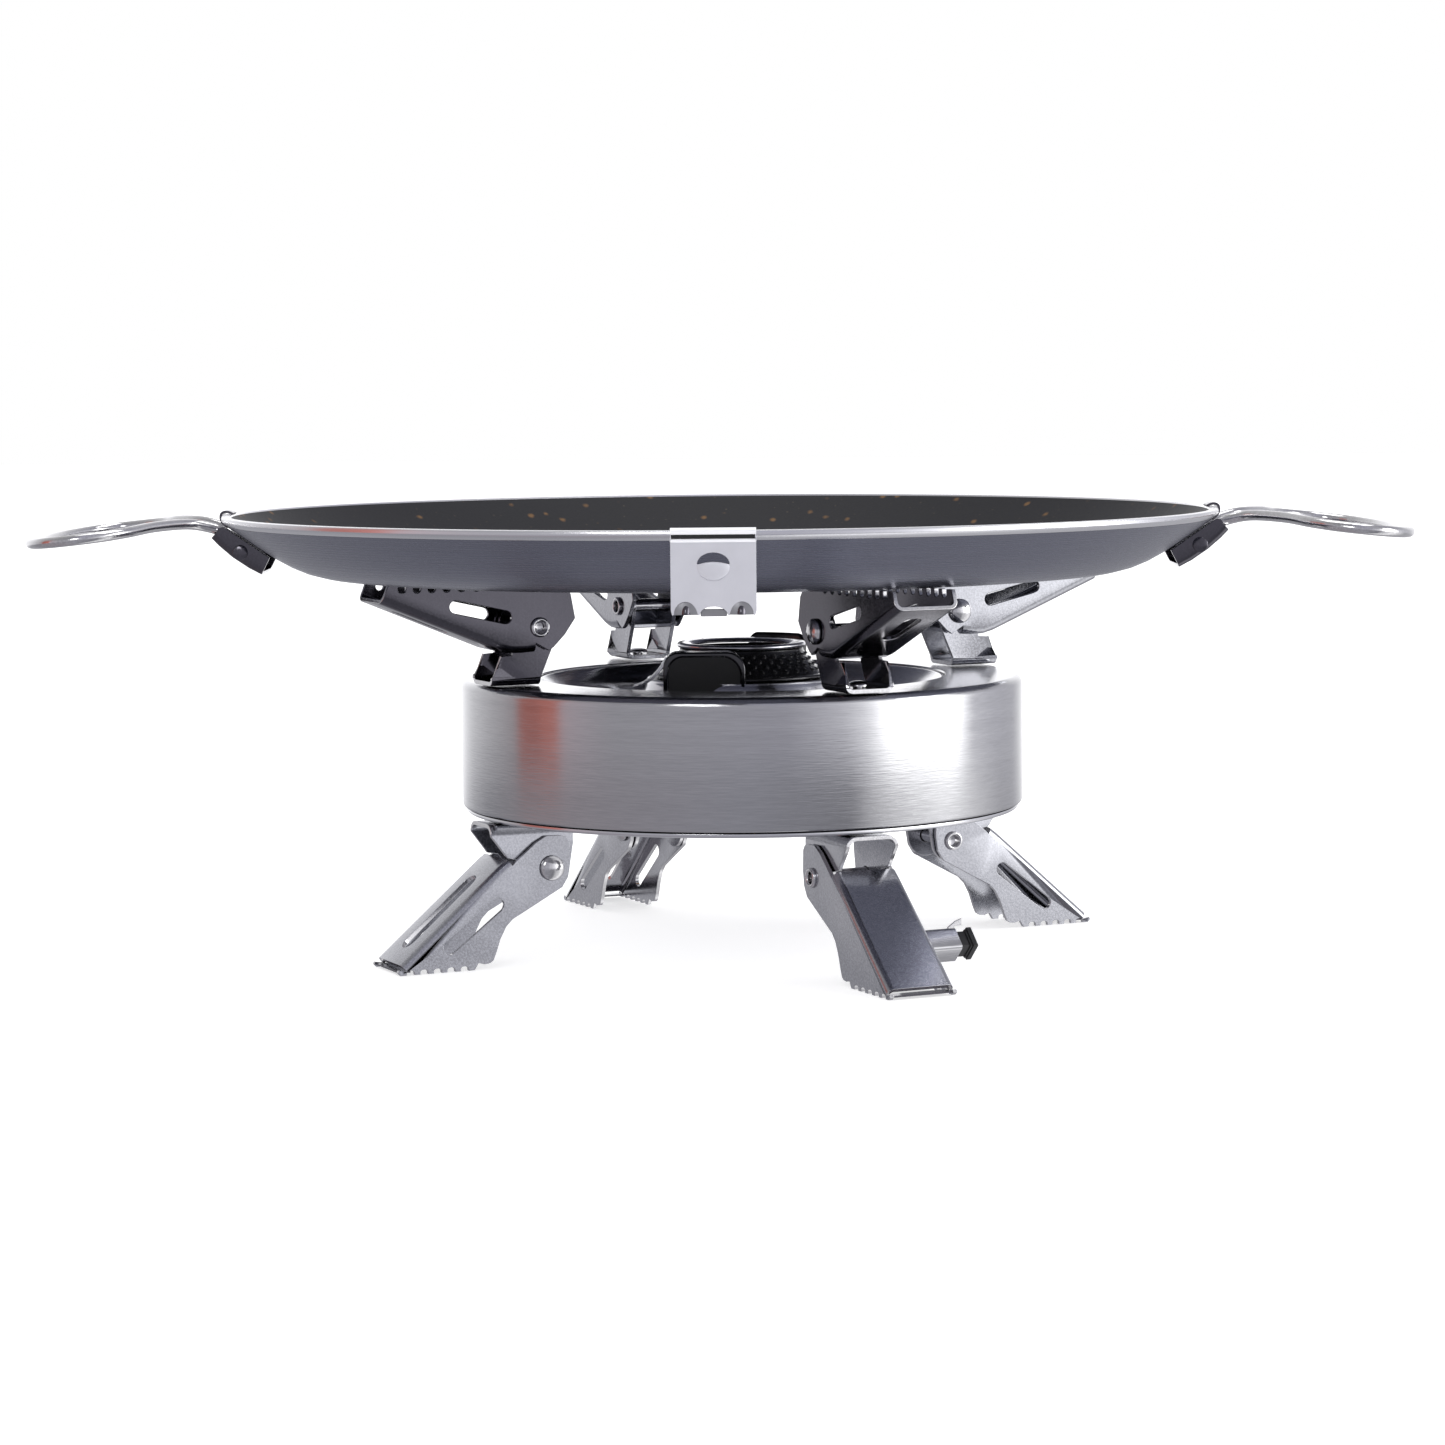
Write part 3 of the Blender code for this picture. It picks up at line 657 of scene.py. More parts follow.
def tube(path: Array, radius: Array | float, sides: int = 20, closed: bool = False) -> Surface:
    """A round tube along a path.

    The ring at a point lies across the path's direction, between the level side vector and its upper normal:
    p + r (cos a * side + sin a * up). An open tube ends in points at the centres of its last rings.

    Args:
        path: the centre line, as rows of x, y and z.
        radius: one radius, or one for each point.
        sides: facets round the tube.
        closed: whether the path runs back into its start.

    Returns:
        A closed surface.
    """
    if closed:
        tangent = np.roll(path, -1, 0) - np.roll(path, 1, 0)
    else:
        tangent = np.gradient(path, axis=0)
    tangent = tangent / np.linalg.norm(tangent, axis=1, keepdims=True)
    flat = np.abs(tangent[:, 2]).max() < 0.999
    side = np.cross(tangent, (0.0, 0.0, 1.0) if flat else (1.0, 0.0, 0.0))
    side = side / np.linalg.norm(side, axis=1, keepdims=True)
    up = np.cross(side, tangent)
    a = np.linspace(0, 2 * np.pi, sides, endpoint=False)[None, :, None]
    r = np.broadcast_to(np.asarray(radius, float), (len(path),))[:, None, None]
    rings = path[:, None] + r * (np.cos(a) * side[:, None] + np.sin(a) * up[:, None])
    if closed:
        return grid(rings, True, True)
    ends = [np.repeat(path[k:k + 1, None], sides, 1) for k in (0, len(path) - 1)]
    return grid(np.concatenate([ends[0], rings, ends[1]]), False, True)


def curve_through(points: Sequence[Sequence[float]], steps: int = 10) -> Array:
    """A Catmull-Rom curve: each span's cubic follows the chord between the neighbours at both its ends.

    Args:
        points: the points to pass through.
        steps: samples for each span.

    Returns:
        The curve's points.
    """
    p = np.array([points[0], *points, points[-1]], float)
    a, b, c, d = (p[k:len(p) - 3 + k, None] for k in range(4))
    t = np.linspace(0, 1, steps, endpoint=False)[None, :, None]
    curve = 0.5 * (2 * b + (c - a) * t + (2 * a - 5 * b + 4 * c - d) * t ** 2 + (3 * b - a - 3 * c + d) * t ** 3)
    return np.concatenate([curve.reshape(-1, p.shape[1]), p[-1:]])


def lathe_y(profile: Loop, steps: int = 40) -> Surface:
    """Turn a closed profile of (radius, position) points about the Y axis."""
    surface = turned(profile, steps)
    return surface.moved(lambda p: np.stack([p[:, 0], p[:, 2], -p[:, 1]], 1))


def block(low: Sequence[float], high: Sequence[float]) -> Surface:
    """A box between two corners."""
    x0, y0, z0 = low
    x1, y1, z1 = high
    rings = np.array([[[x0, y0, z], [x1, y0, z], [x1, y1, z], [x0, y1, z]] for z in (z0, z1)], float)
    sides = grid(rings, False, True)
    return Surface(sides.points, sides.faces + [(0, 1, 2, 3), (4, 5, 6, 7)])


def extruded(loops: Sequence[Loop], low: float, high: float) -> Surface:
    """A solid between two heights whose plan is an outline that may have holes."""
    caps = [filled(loops, lambda p, z=z: np.column_stack([p, np.full(len(p), z)])) for z in (low, high)]
    walls = []
    for loop in loops:
        plan = np.array(loop, float)
        rings = np.stack([np.column_stack([plan, np.full(len(plan), z)]) for z in (low, high)])
        walls.append(grid(rings, False, True))
    return joined(caps + walls)


class Maker:
    """Turns surfaces into finished pieces of the object."""

    def __init__(self, palette: Palette) -> None:
        """Keep the palette and count the pieces."""
        self.palette = palette
        self.count = 0

    def piece(
        self,
        name: str,
        surface: Surface,
        material: Any,
        body: str,
        finish: Finish,
        replaces: Sequence[str] = (),
        sheet: float = 0.0,
        bevel: float = 0.0,
        smooth: float = 32.0,
        edge: Any = None,
    ) -> Any:
        """Make one piece, hang it on its body and hide the solids that it stands for.

        Args:
            name: the piece's name.
            surface: its shape, in millimetres.
            material: its material.
            body: the body it rides on.
            finish: not used.
            replaces: the solids that it stands for.
            sheet: thickness of a piece drawn as the middle of its sheet, in millimetres.
            bevel: width of its broken edges, in millimetres.
            smooth: edges that turn more than this many degrees stay sharp.
            edge: the material of a sheet's cut edges, where it differs.

        Returns:
            The object.
        """
        mesh = bpy.data.meshes.new(name)
        mesh.from_pydata((surface.points * MM).tolist(), [], surface.faces)
        shape = bmesh.new()
        shape.from_mesh(mesh)
        bmesh.ops.remove_doubles(shape, verts=shape.verts, dist=2e-7)
        bmesh.ops.dissolve_degenerate(shape, edges=shape.edges, dist=1e-8)
        bmesh.ops.recalc_face_normals(shape, faces=shape.faces)
        shape.to_mesh(mesh)
        shape.free()
        mesh.shade_smooth()
        item = bpy.data.objects.new(name, mesh)
        bpy.context.scene.collection.objects.link(item)
        if sheet:
            solid = item.modifiers.new("sheet", "SOLIDIFY")
            solid.thickness = sheet * MM
            solid.offset = 0.0
            solid.use_even_offset = True
            solid.material_offset_rim = 1 if edge else 0
        if bevel:
            broken = item.modifiers.new("edges", "BEVEL")
            broken.width = bevel * MM
            broken.segments = 2
            broken.limit_method = "ANGLE"
            broken.angle_limit = math.radians(40)
            broken.harden_normals = True
        else:
            mesh.set_sharp_from_angle(angle=math.radians(smooth))
        for used in (material, edge):
            if used:
                mesh.materials.append(used)
        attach(item, body)
        if replaces:
            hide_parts(*replaces)
        self.count += 1
        log.info("%s rides on %s, %d faces", name, body, len(mesh.polygons))
        return item


@dataclass
class Channel:
    """A bent sheet: a web along a path, with a round bend on each side into a cheek.

    Every length is in millimetres in the plane of the cheeks, with x outwards, z up and y across. The web's
    outer face follows path. rim is the rest of the cheek's outline, from the path's end back to its start.
    """

    path: Loop
    rim: Loop
    half: Callable[[Array], Array]
    sheet: float
    bend: float
    inward: float
    cheek_holes: Sequence[Loop] = ()
    web_hole: tuple[float, float, float] | None = None
    bend_steps: int = 6

    def surface(self) -> Surface:
        """Work out the middle of the sheet.

        Across the bend the section is a quarter circle: depth = b (1 - cos a) and y = h - b + b sin a.

        Returns:
            The web, the bends and the cheeks, joined.
        """
        path = np.array(self.path, float)
        step = np.diff(path, axis=0)
        step = step / np.linalg.norm(step, axis=1, keepdims=True)
        before, after = np.vstack([step[:1], step]), np.vstack([step, step[-1:]])
        along = before + after
        along = along / np.linalg.norm(along, axis=1, keepdims=True)
        normal = np.column_stack([-along[:, 1], along[:, 0]]) * self.inward
        mitre = normal / np.sum(along * after, axis=1, keepdims=True)
        middle = path + mitre * self.sheet / 2
        angle = np.linspace(0, np.pi / 2, self.bend_steps + 1)
        depth = self.bend * (1 - np.cos(angle))
        spots = middle[:, None] + mitre[:, None] * depth[None, :, None]
        width = self.half(spots[..., 0]) - self.sheet / 2
        reach = width - self.bend + self.bend * np.sin(angle)[None]
        parts = []
        for sign in (-1.0, 1.0):
            parts.append(grid(np.stack([spots[..., 0], sign * reach, spots[..., 1]], 2)))
            loop = [tuple(p) for p in spots[:, -1]] + list(self.rim)

            def lift(flat: Array, sign: float = sign) -> Array:
                return np.column_stack([flat[:, 0], sign * (self.half(flat[:, 0]) - self.sheet / 2), flat[:, 1]])

            parts.append(filled([loop, *self.cheek_holes], lift))
        edge = reach[:, 0]
        last = len(middle) - 2
        for k in range(len(middle) - 1):
            if k == last and self.web_hole:
                parts.append(self._holed_web(middle[k], middle[k + 1], edge[k], edge[k + 1]))
                continue
            rows = [[(m[0], s * e, m[1]) for s in (-1, 1)] for m, e in zip(middle[k:k + 2], edge[k:k + 2])]
            parts.append(grid(np.array(rows)))
        return joined(parts)

    def _holed_web(self, start: Array, end: Array, near: float, far: float) -> Surface:
        """The web's last span, with a long hole between two distances from its outer end."""
        run = end - start
        length = float(np.linalg.norm(run))
        outer, inner, half = self.web_hole
        loop = [(0.0, -near), (length, -far), (length, far), (0.0, near)]
        hole = long_hole((length - inner, 0.0), (length - outer, 0.0), half)

        def lift(flat: Array) -> Array:
            spot = start + flat[:, :1] / length * run
            return np.column_stack([spot[:, 0], flat[:, 1], spot[:, 1]])

        return filled([loop, hole], lift)


# ----------------------------------------------------------------------------------------------------------------
# Sub-assemblies
# ----------------------------------------------------------------------------------------------------------------


@dataclass(frozen=True)
class Hinge:
    """Where one folding piece turns: the pivot, and the azimuth of its radial line."""

    corner: str
    x: float
    y: float
    z: float
    azimuth: float

    def put(self, surface: Surface) -> Surface:
        """Turn a surface from the pivot's own space to the azimuth, and move it to the pivot."""
        c, s = math.cos(self.azimuth), math.sin(self.azimuth)

        def place(p: Array) -> Array:
            return np.column_stack([c * p[:, 0] - s * p[:, 1] + self.x, s * p[:, 0] + c * p[:, 1] + self.y,
                                    p[:, 2] + self.z])

        return surface.moved(place)


def hinges(frame: dict[str, Any], prefix: str, axis_x: float) -> list[Hinge]:
    """Read the pivots of a set of folding pieces from the record.

    Args:
        frame: the loaded frame.
        prefix: how the joints' names start.
        axis_x: where the stove's axis stands, in millimetres.

    Returns:
        One hinge for each joint.
    """
    found = []
    for joint in frame["record"]["behaviour"]["joints"]:
        if joint["name"].startswith(prefix):
            x, y, z = (v / MM for v in joint["pos_m"])
            found.append(Hinge(joint["name"][len(prefix):], x, y, z, math.atan2(y, x - axis_x)))
    return found


def node_heights(node: str) -> tuple[float, float]:
    """The heights of a solid's foot and top, in millimetres."""
    low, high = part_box(node)
    return low[2] / MM, high[2] / MM


def node_middle(node: str) -> tuple[float, float]:
    """The middle of a solid's plan, in millimetres."""
    low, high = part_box(node)
    return (low[0] + high[0]) / 2 / MM, (low[1] + high[1]) / 2 / MM


def domed_pin(half: float, head_side: float, shank: float = 2.0) -> Surface:
    """A hinge pin along Y: a domed head on one side and a rolled, hollow end on the other.

    Args:
        half: half of the width between the heads.
        head_side: +1 where the dome is on the +Y side.
        shank: the shank's radius.

    Returns:
        A closed surface.
    """
    head = half + 0.3
    dome = [(3.55 * math.cos(a), -head - 0.25 - 1.45 * math.sin(a)) for a in np.radians(np.linspace(90, 0, 9))]
    roll = swept_arc((2.2, head + 0.05), 0.58, -60, 190, 10)
    bore = [(1.45, head - 1.8), (0.0, head - 2.2)]
    profile = dome + [(3.55, -head), (shank, -head), (shank, head)] + roll + bore
    if head_side > 0:
        profile = [(r, -y) for r, y in profile]
    return lathe_y(profile)


def dome_rivet(radius: float, rise: float, low: float, high: float, shank: float,
               around: tuple[float, float]) -> Surface:
    """An upright rivet with a domed head on top.

    Args:
        radius: the head's radius.
        rise: the head's height.
        low: height of the shank's foot.
        high: height of its top, where the head starts.
        shank: the shank's radius.
        around: where its axis stands.

    Returns:
        A closed surface.
    """
    rim = 0.25
    turn = np.radians(np.linspace(0, 90, 9))
    dome = [(radius * math.cos(a), high + rim + (rise - rim) * math.sin(a)) for a in turn]
    return turned([(0, low), (shank, low), (shank, high), (radius, high)] + dome, 40, around)


@dataclass
class Legs:
    """The four folding legs with their brackets, pins and rivets."""

    sheet: float = 1.2
    half_top: float = 9.6
    half_toe: float = 10.0
    reach: float = 46.5
    bracket_half: float = 8.0
    pin_hole: float = 2.2
    bite: tuple[float, float] = (1.15, 1.3)
    bites: int = 5
    rivet_head: float = 2.7
    rivet_rise: float = 1.3
    rivet_shank: float = 1.5
    plain_corner: str = "front_right"
    web: Loop = ((13.0, 3.0), (14.8, 1.65), (16.6, 0.15), (44.83, -24.27))
    crown: Loop = ((-3.2, -5.6), (-5.0, -2.8), (-5.7, 1.3), (-5.5, 7.0), (-4.6, 8.4), (-3.0, 8.9), (1.5, 9.0),
                   (4.5, 7.4), (10.8, 2.3))
    heel: Loop = ((22.2, -25.1), (20.4, -25.6), (18.9, -25.4), (17.8, -24.7), (16.9, -22.6), (15.6, -18.8),
                  (13.9, -15.6), (11.9, -13.6), (9.0, -12.1))

    def half(self, x: Array) -> Array:
        """Half width: it grows evenly from the pivot to the toe."""
        return self.half_top + (self.half_toe - self.half_top) * x / self.reach

    def leg(self, plain: bool) -> Surface:
        """The middle surface of one leg.

        Args:
            plain: whether it has no slots.

        Returns:
            The surface in the pivot's own space.
        """
        sole_start, sole_end = (45.3, -27.0), (23.4, -27.0)
        rim = [(45.8, -25.5), (46.1, -26.2), sole_start,
               *scalloped(sole_start, sole_end, self.bites, *self.bite, -1.0), sole_end, *self.heel, *self.crown]
        holes = [round_hole((0.0, 0.0), self.pin_hole)]
        if not plain:
            holes.append(long_hole((16.4, -9.4), (30.6, -20.2), 2.0))
        web_hole = None if plain else (8.5, 31.0, 3.0)
        return Channel(self.web, rim, self.half, self.sheet, 1.5, -1.0, holes, web_hole).surface()

    def bracket(self) -> Surface:
        """The middle surface of the channel under the drum."""
        rim = [(13.4, 4.4), (12.6, 3.2), (9.4, 2.6), *swept_arc((0, 0), 6.2, -20, -180, 12), (-7.3, 6.5)]
        path = [(-7.3, 12.7), (17.3, 12.7)]
        return Channel(path, rim, lambda x: self.bracket_half + 0 * x, self.sheet, 2.6, -1.0,
                       [round_hole((0, 0), self.pin_hole)]).surface()

    def rivet(self, low: float, high: float, around: tuple[float, float]) -> Surface:
        """An upright rivet whose domed head hangs below the bracket.

        Args:
            low: height of the head's lowest point.
            high: height of the shank's top.
            around: where its axis stands.

        Returns:
            A closed surface.
        """
        head, rise, shank = self.rivet_head, self.rivet_rise, self.rivet_shank
        dome = [(head * math.sin(a), low + rise - rise * math.cos(a)) for a in np.radians(np.linspace(10, 90, 8))]
        return turned([(0, low), *dome, (shank, low + rise), (shank, high), (0, high)], 32, around)

    def build(self, maker: Maker, hinge_list: list[Hinge]) -> None:
        """Make every leg and what holds it."""
        palette = maker.palette
        for hinge in hinge_list:
            plain = hinge.corner == self.plain_corner
            leg_name = f"leg_{hinge.corner}"
            maker.piece(f"{leg_name}_sheet", hinge.put(self.leg(plain)), palette.bright, leg_name, Finish.BRIGHT,
                        [leg_name], self.sheet, 0.22, edge=palette.wire)
            reach = self.half_toe - 1.0
            # A dark strip at the toe: painted shade under the web's bent edge, in the near-black steel.
            hem = block((42.0, -reach, -26.4), (45.6, reach, -25.9))
            maker.piece(f"{leg_name}_toe", hinge.put(hem), palette.shade_dark, leg_name, Finish.BRIGHT, (), 0.0, 0.1)
            maker.piece(f"leg_bracket_{hinge.corner}_sheet", hinge.put(self.bracket()), palette.bright, "stove",
                        Finish.BRIGHT, [f"leg_bracket_{hinge.corner}"], self.sheet, 0.2, edge=palette.wire)
            maker.piece(f"leg_pin_{hinge.corner}_turned", hinge.put(domed_pin(self.half_top, 1.0)), palette.wire,
                        "stove", Finish.BRIGHT, [f"leg_pin_{hinge.corner}"])
            rivet_name = f"leg_rivet_{hinge.corner}"
            rivet = self.rivet(*node_heights(rivet_name), node_middle(rivet_name))
            maker.piece(f"{rivet_name}_turned", rivet, palette.wire, "stove", Finish.BRIGHT, [rivet_name])


@dataclass
class Supports:
    """The four folding pot supports with their brackets, pins and rivets."""

    sheet: float = 1.2
    half_width: float = 9.3
    post_half: float = 7.2
    pin_hole: float = 2.2
    teeth: int = 9
    bite: tuple[float, float] = (1.2, 2.3)
    web: Loop = ((1.0, -6.85), (5.0, -7.1), (8.6, -7.0), (12.0, -6.1), (15.6, -4.65), (46.4, 7.9))
    back: Loop = ((-6.4, 12.4), (-9.4, 9.0), (-10.7, 2.2), (-7.6, -2.2), (-4.2, -5.6), (-2.6, -6.6))

    def half(self, x: Array) -> Array:
        """Half width, the same all along."""
        return self.half_width + 0 * x

    def support(self) -> Surface:
        """The middle surface of one support, in the pivot's own space."""
        top = 12.9
        rim = [(44.4, top), *scalloped((43.6, top), (2.5, top), self.teeth, *self.bite, 1.0), (-5.8, top), *self.back]
        holes = [round_hole((0.0, 0.0), self.pin_hole), long_hole((10.1, 3.1), (24.8, 6.4), 1.75)]
        return Channel(self.web, rim, self.half, self.sheet, 1.8, 1.0, holes, (9.5, 22.0, 2.5)).surface()

    def bracket(self) -> Surface:
        """The middle surface of the post that the support turns on."""
        rim = [(13.8, -14.6), (10.7, -7.9), (7.5, -7.7), (6.6, -5.0), *swept_arc((0, 0), 6.0, -10, 190, 14),
               (-4.4, -6.2)]
        path = [(-1.0, -16.1), (13.6, -16.1)]
        return Channel(path, rim, lambda x: self.post_half + 0 * x, self.sheet, 1.6, 1.0,
                       [round_hole((0, 0), self.pin_hole)]).surface()

    def build(self, maker: Maker, hinge_list: list[Hinge]) -> None:
        """Make every support and what holds it."""
        palette = maker.palette
        for hinge in hinge_list:
            name = f"support_{hinge.corner}"
            front = hinge.corner.startswith("front")
            # The front supports take the near-black steel: painted shade, since the pan shades them and they mirror
            # the dark room; the back ones stay bright.
            steel, cut = (palette.shade_dark, palette.wire) if front else (palette.bright, None)
            maker.piece(f"{name}_sheet", hinge.put(self.support()), steel, name, Finish.BRIGHT, [name],
                        self.sheet, 0.22, edge=cut)
            maker.piece(f"support_bracket_{hinge.corner}_sheet", hinge.put(self.bracket()), steel, "stove",
                        Finish.BRIGHT, [f"support_bracket_{hinge.corner}"], self.sheet, 0.2, edge=cut)
            maker.piece(f"support_pin_{hinge.corner}_turned", hinge.put(domed_pin(self.half_width, -1.0)),
                        palette.wire, "stove", Finish.BRIGHT, [f"support_pin_{hinge.corner}"])
            rivet_name = f"support_rivet_{hinge.corner}"
            low, high = node_heights(rivet_name)
            rivet = dome_rivet(3.0, 1.5, low, high - 1.5, 1.5, node_middle(rivet_name))
            maker.piece(f"{rivet_name}_turned", rivet, palette.wire, "stove", Finish.BRIGHT, [rivet_name])


@dataclass
class Drum:
    """The drawn shell, the polished plate in its top and the base plate."""

    axis_x: float
    radius: float = 80.0
    fillet: float = 2.6
    wall: float = 1.0
    opening: float = 58.0
    steps: int = 256
    dish: Loop = ((57.7, 77.1), (57.0, 76.95), (54.5, 74.9), (51.0, 72.2), (46.0, 70.3), (40.0, 69.6), (33.0, 69.6),
                  (29.6, 70.9), (27.9, 74.0), (26.9, 76.4), (25.6, 77.2), (13.0, 77.2))

    def build(self, maker: Maker) -> None:
        """Make the three pieces."""
        around = (self.axis_x, 0.0)
        low, high = node_heights("drum_shell")
        corner = (self.radius - self.fillet, high - self.fillet)
        hem = swept_arc((self.radius - 0.7, low + 0.7), 0.7, 270, 360, 5)
        outer = hem + swept_arc(corner, self.fillet, 0, 90, 14)
        bead = [(self.opening + 0.4, high), (self.opening, high - 0.3)]
        inner = [(self.opening, high - self.wall)] + swept_arc(corner, self.fillet - self.wall, 90, 0, 10)
        profile = outer + bead + inner + [(self.radius - self.wall, low)]
        maker.piece("drum_shell_spun", turned(profile, self.steps, around), maker.palette.brushed, "stove",
                    Finish.BRUSHED, ["drum_shell"])
        dish = curve_through(self.dish, 6)
        plate = [tuple(p) for p in dish] + [(r, z - self.wall) for r, z in reversed(self.dish)]
        maker.piece("top_plate_polished", turned(plate, self.steps, around), maker.palette.mirror, "stove",
                    Finish.BRIGHT, ["top_plate"])
        low, high = node_heights("base_plate")
        edge = 78.9
        base = [(0, low + 0.6), (50, low + 0.6), (52, low), (edge - 0.5, low), (edge - 0.1, low + 0.25),
                (edge, low + 0.65), (edge - 0.1, high - 0.2), (edge - 0.4, high), (0, high)]
        maker.piece("base_plate_pressed", turned(base, self.steps, around), maker.palette.mirror, "stove",
                    Finish.BRUSHED, ["base_plate"])


@dataclass
class Burner:
    """The black burner head in the middle of the drum, with its polished lip, hood, guard and electrode."""

    axis_x: float
    cup: float = 17.3
    spread: float = 6.0
    knurl_rows: float = 2.5
    knurl_around: int = 36
    knurl_rise: float = 0.75
    steps: int = 176

    def skirt(self, low: float, high: float) -> Surface:
        """The cup's wall with staggered bumps.

        The radius at angle a and height z is R(z) + k max(0, cos(n a) cos(m z))^3, and the rows alternate because
        the product is positive on a chequered pattern.

        Args:
            low: height of the wall's foot.
            high: height of its lip.

        Returns:
            A closed surface: the outer wall, the lip, the inner wall and the floor.
        """
        rows = 60
        z = np.linspace(low, high, rows)
        share = (z - low) / (high - low)
        base = self.cup + 0.3 + self.spread * (1 - share) ** 1.4
        count = self.knurl_around * 14
        angle = np.linspace(0, 2 * np.pi, count, endpoint=False)
        band = np.clip(np.sin(np.pi * np.clip((share - 0.12) / 0.78, 0, 1)) * 4, 0, 1)
        wave = np.cos(self.knurl_around * angle)[None] * np.cos(self.knurl_rows * 2 * np.pi * share)[:, None]
        r = base[:, None] + self.knurl_rise * np.clip(wave, 0, 1) ** 3 * band[:, None]
        outside = self.ring_points(r, z[:, None], angle)
        inner = np.array([(self.cup - 0.4, high + 0.3), (self.cup - 1.5, high + 0.3), (self.cup - 1.9, high - 0.5),
                          (self.cup - 2.6, low + 2.4), (8.6, low + 2.0), (8.6, 52.0), (0.0, 52.0), (0.0, 50.0),
                          (10.0, 50.0), (10.0, low), (self.cup + self.spread, low)])
        rings = self.ring_points(inner[:, :1], inner[:, 1:], angle)
        return grid(np.concatenate([outside, rings]), True, True)

    def ring_points(self, radius: Array, height: Array, angle: Array) -> Array:
        """Points at a radius and height round the stove's axis, as rows of rings."""
        radius, height = np.broadcast_arrays(radius, height)
        radius, height = (np.broadcast_to(v, (len(radius), len(angle))) for v in (radius, height))
        return np.stack([radius * np.cos(angle) + self.axis_x, radius * np.sin(angle), height], 2)

    def hood_outline(self, low: float, inset: float) -> list:
        """The arch: a rectangle whose two upper corners are round."""
        left, right, top = self.axis_x - 22.0 + inset, self.axis_x + 1.0 - inset, 86.1 - inset
        return ([(left, low + inset), (right, low + inset)] + swept_arc((right - 5.2, top - 5.2), 5.2, 0, 90, 10)
                + swept_arc((left + 4.2, top - 4.2), 4.2, 90, 180, 10))

    def build(self, maker: Maker) -> None:
        """Make the burner's pieces."""
        around = (self.axis_x, 0.0)
        enamel, mirror = maker.palette.enamel, maker.palette.mirror
        low = node_heights("burner_flange")[0]
        flange = [(19.5, low), (24.7, low), (25.1, low + 0.2), (25.2, low + 0.6), (25.0, low + 0.9),
                  (24.2, low + 1.1), (19.5, low + 1.1)]
        maker.piece("burner_flange_turned", turned(flange, self.steps, around), enamel, "stove", Finish.ENAMEL,
                    ["burner_flange"])
        skirt_high = node_heights("burner_cup")[1]
        maker.piece("burner_cup_knurled", self.skirt(low + 0.9, skirt_high - 0.3), enamel, "stove", Finish.ENAMEL,
                    ["burner_cup"])
        low_ring, high_ring = node_heights("burner_ring")
        crown = swept_arc((17.6, low_ring + 0.55), 0.75, -90, 90, 10)
        ring = [(14.2, low_ring), *crown, (15.6, high_ring - 0.15), (14.6, high_ring - 0.45), (14.2, high_ring - 0.9)]
        maker.piece("burner_ring_polished", turned(ring, self.steps, around), mirror, "stove", Finish.BRIGHT,
                    ["burner_ring"])
        low_grid, high_grid = node_heights("burner_grid")
        angle = np.linspace(0, 2 * np.pi, self.steps, endpoint=False)
        share = np.linspace(0, 1, 24)[:, None]
        radius = 13.3 * share
        rise = high_grid - 1.9 * share ** 2 + 0.28 * np.cos(22 * angle)[None] * np.clip(share * 3 - 1.4, 0, 1)
        top = self.ring_points(radius, rise, angle)
        under = self.ring_points(radius[::-1], np.full((1, 1), low_grid), angle)
        maker.piece("burner_grid_pressed", grid(np.concatenate([top, under]), True, True), enamel, "stove",
                    Finish.ENAMEL, ["burner_grid"])
        self._hood(maker, low)
        self._guard(maker)
        self._electrode(maker)

    def _hood(self, maker: Maker, low: float) -> None:
        """The arched cover at the front left, with its rolled front edge."""
        front, back, foot = -27.0, -19.4, low - 6.6
        shell = extruded([self.hood_outline(foot, 0.0), self.hood_outline(foot, 1.5)], front, back)
        panel = extruded([self.hood_outline(foot, 1.3)], front + 0.7, front + 1.4)
        sweep = curve_through([(-21.0, 84.6), (-22.2, 82.3), (-24.6, 79.3), (-27.6, 77.2), (-30.3, 76.2)], 5)
        wing = grid(np.array([[(self.axis_x + x, y, z) for y in (-25.5, -19.0)] for x, z in sweep]))

        def stand(p: Array) -> Array:
            return np.column_stack([p[:, 0], p[:, 2], p[:, 1]])

        maker.piece("burner_hood_cover", shell.moved(stand), maker.palette.glaze, "stove", Finish.ENAMEL,
                    ["burner_hood"], 0.0, 0.6)
        maker.piece("burner_hood_panel", panel.moved(stand), maker.palette.plastic, "stove", Finish.ENAMEL,
                    (), 0.0, 0.15)
        maker.piece("burner_hood_wing", wing, maker.palette.mirror, "stove", Finish.BRIGHT, (), 0.8, 0.12)

    def _guard(self, maker: Maker) -> None:
        """The dark curved lip that stands behind the ring at the right."""
        low, high = node_heights("burner_guard")
        angle = np.radians(np.linspace(34, 84, 60))[:, None]
        fall = np.clip(np.abs(np.linspace(-1, 1, 60)) - 0.72, 0, 1)[:, None] ** 2 * 26
        section = np.array([(21.6, low), (22.6, low), (22.8, high - 0.8), (22.5, high - 0.1), (22.0, high),
                            (21.7, high - 0.3), (21.5, high - 0.9)])
        r, z = section[:, 0][None], section[:, 1][None]
        level = low + (z - low) * (1 - fall / (high - low))
        rings = np.stack([r * np.cos(angle) + self.axis_x, r * np.sin(angle), level], 2)
        ends = [tuple(range(7)), tuple(range(59 * 7, 60 * 7))]
        wall = grid(rings, False, True)
        maker.piece("burner_guard_pressed", Surface(wall.points, wall.faces + ends), maker.palette.enamel, "stove",
                    Finish.ENAMEL, ["burner_guard"])

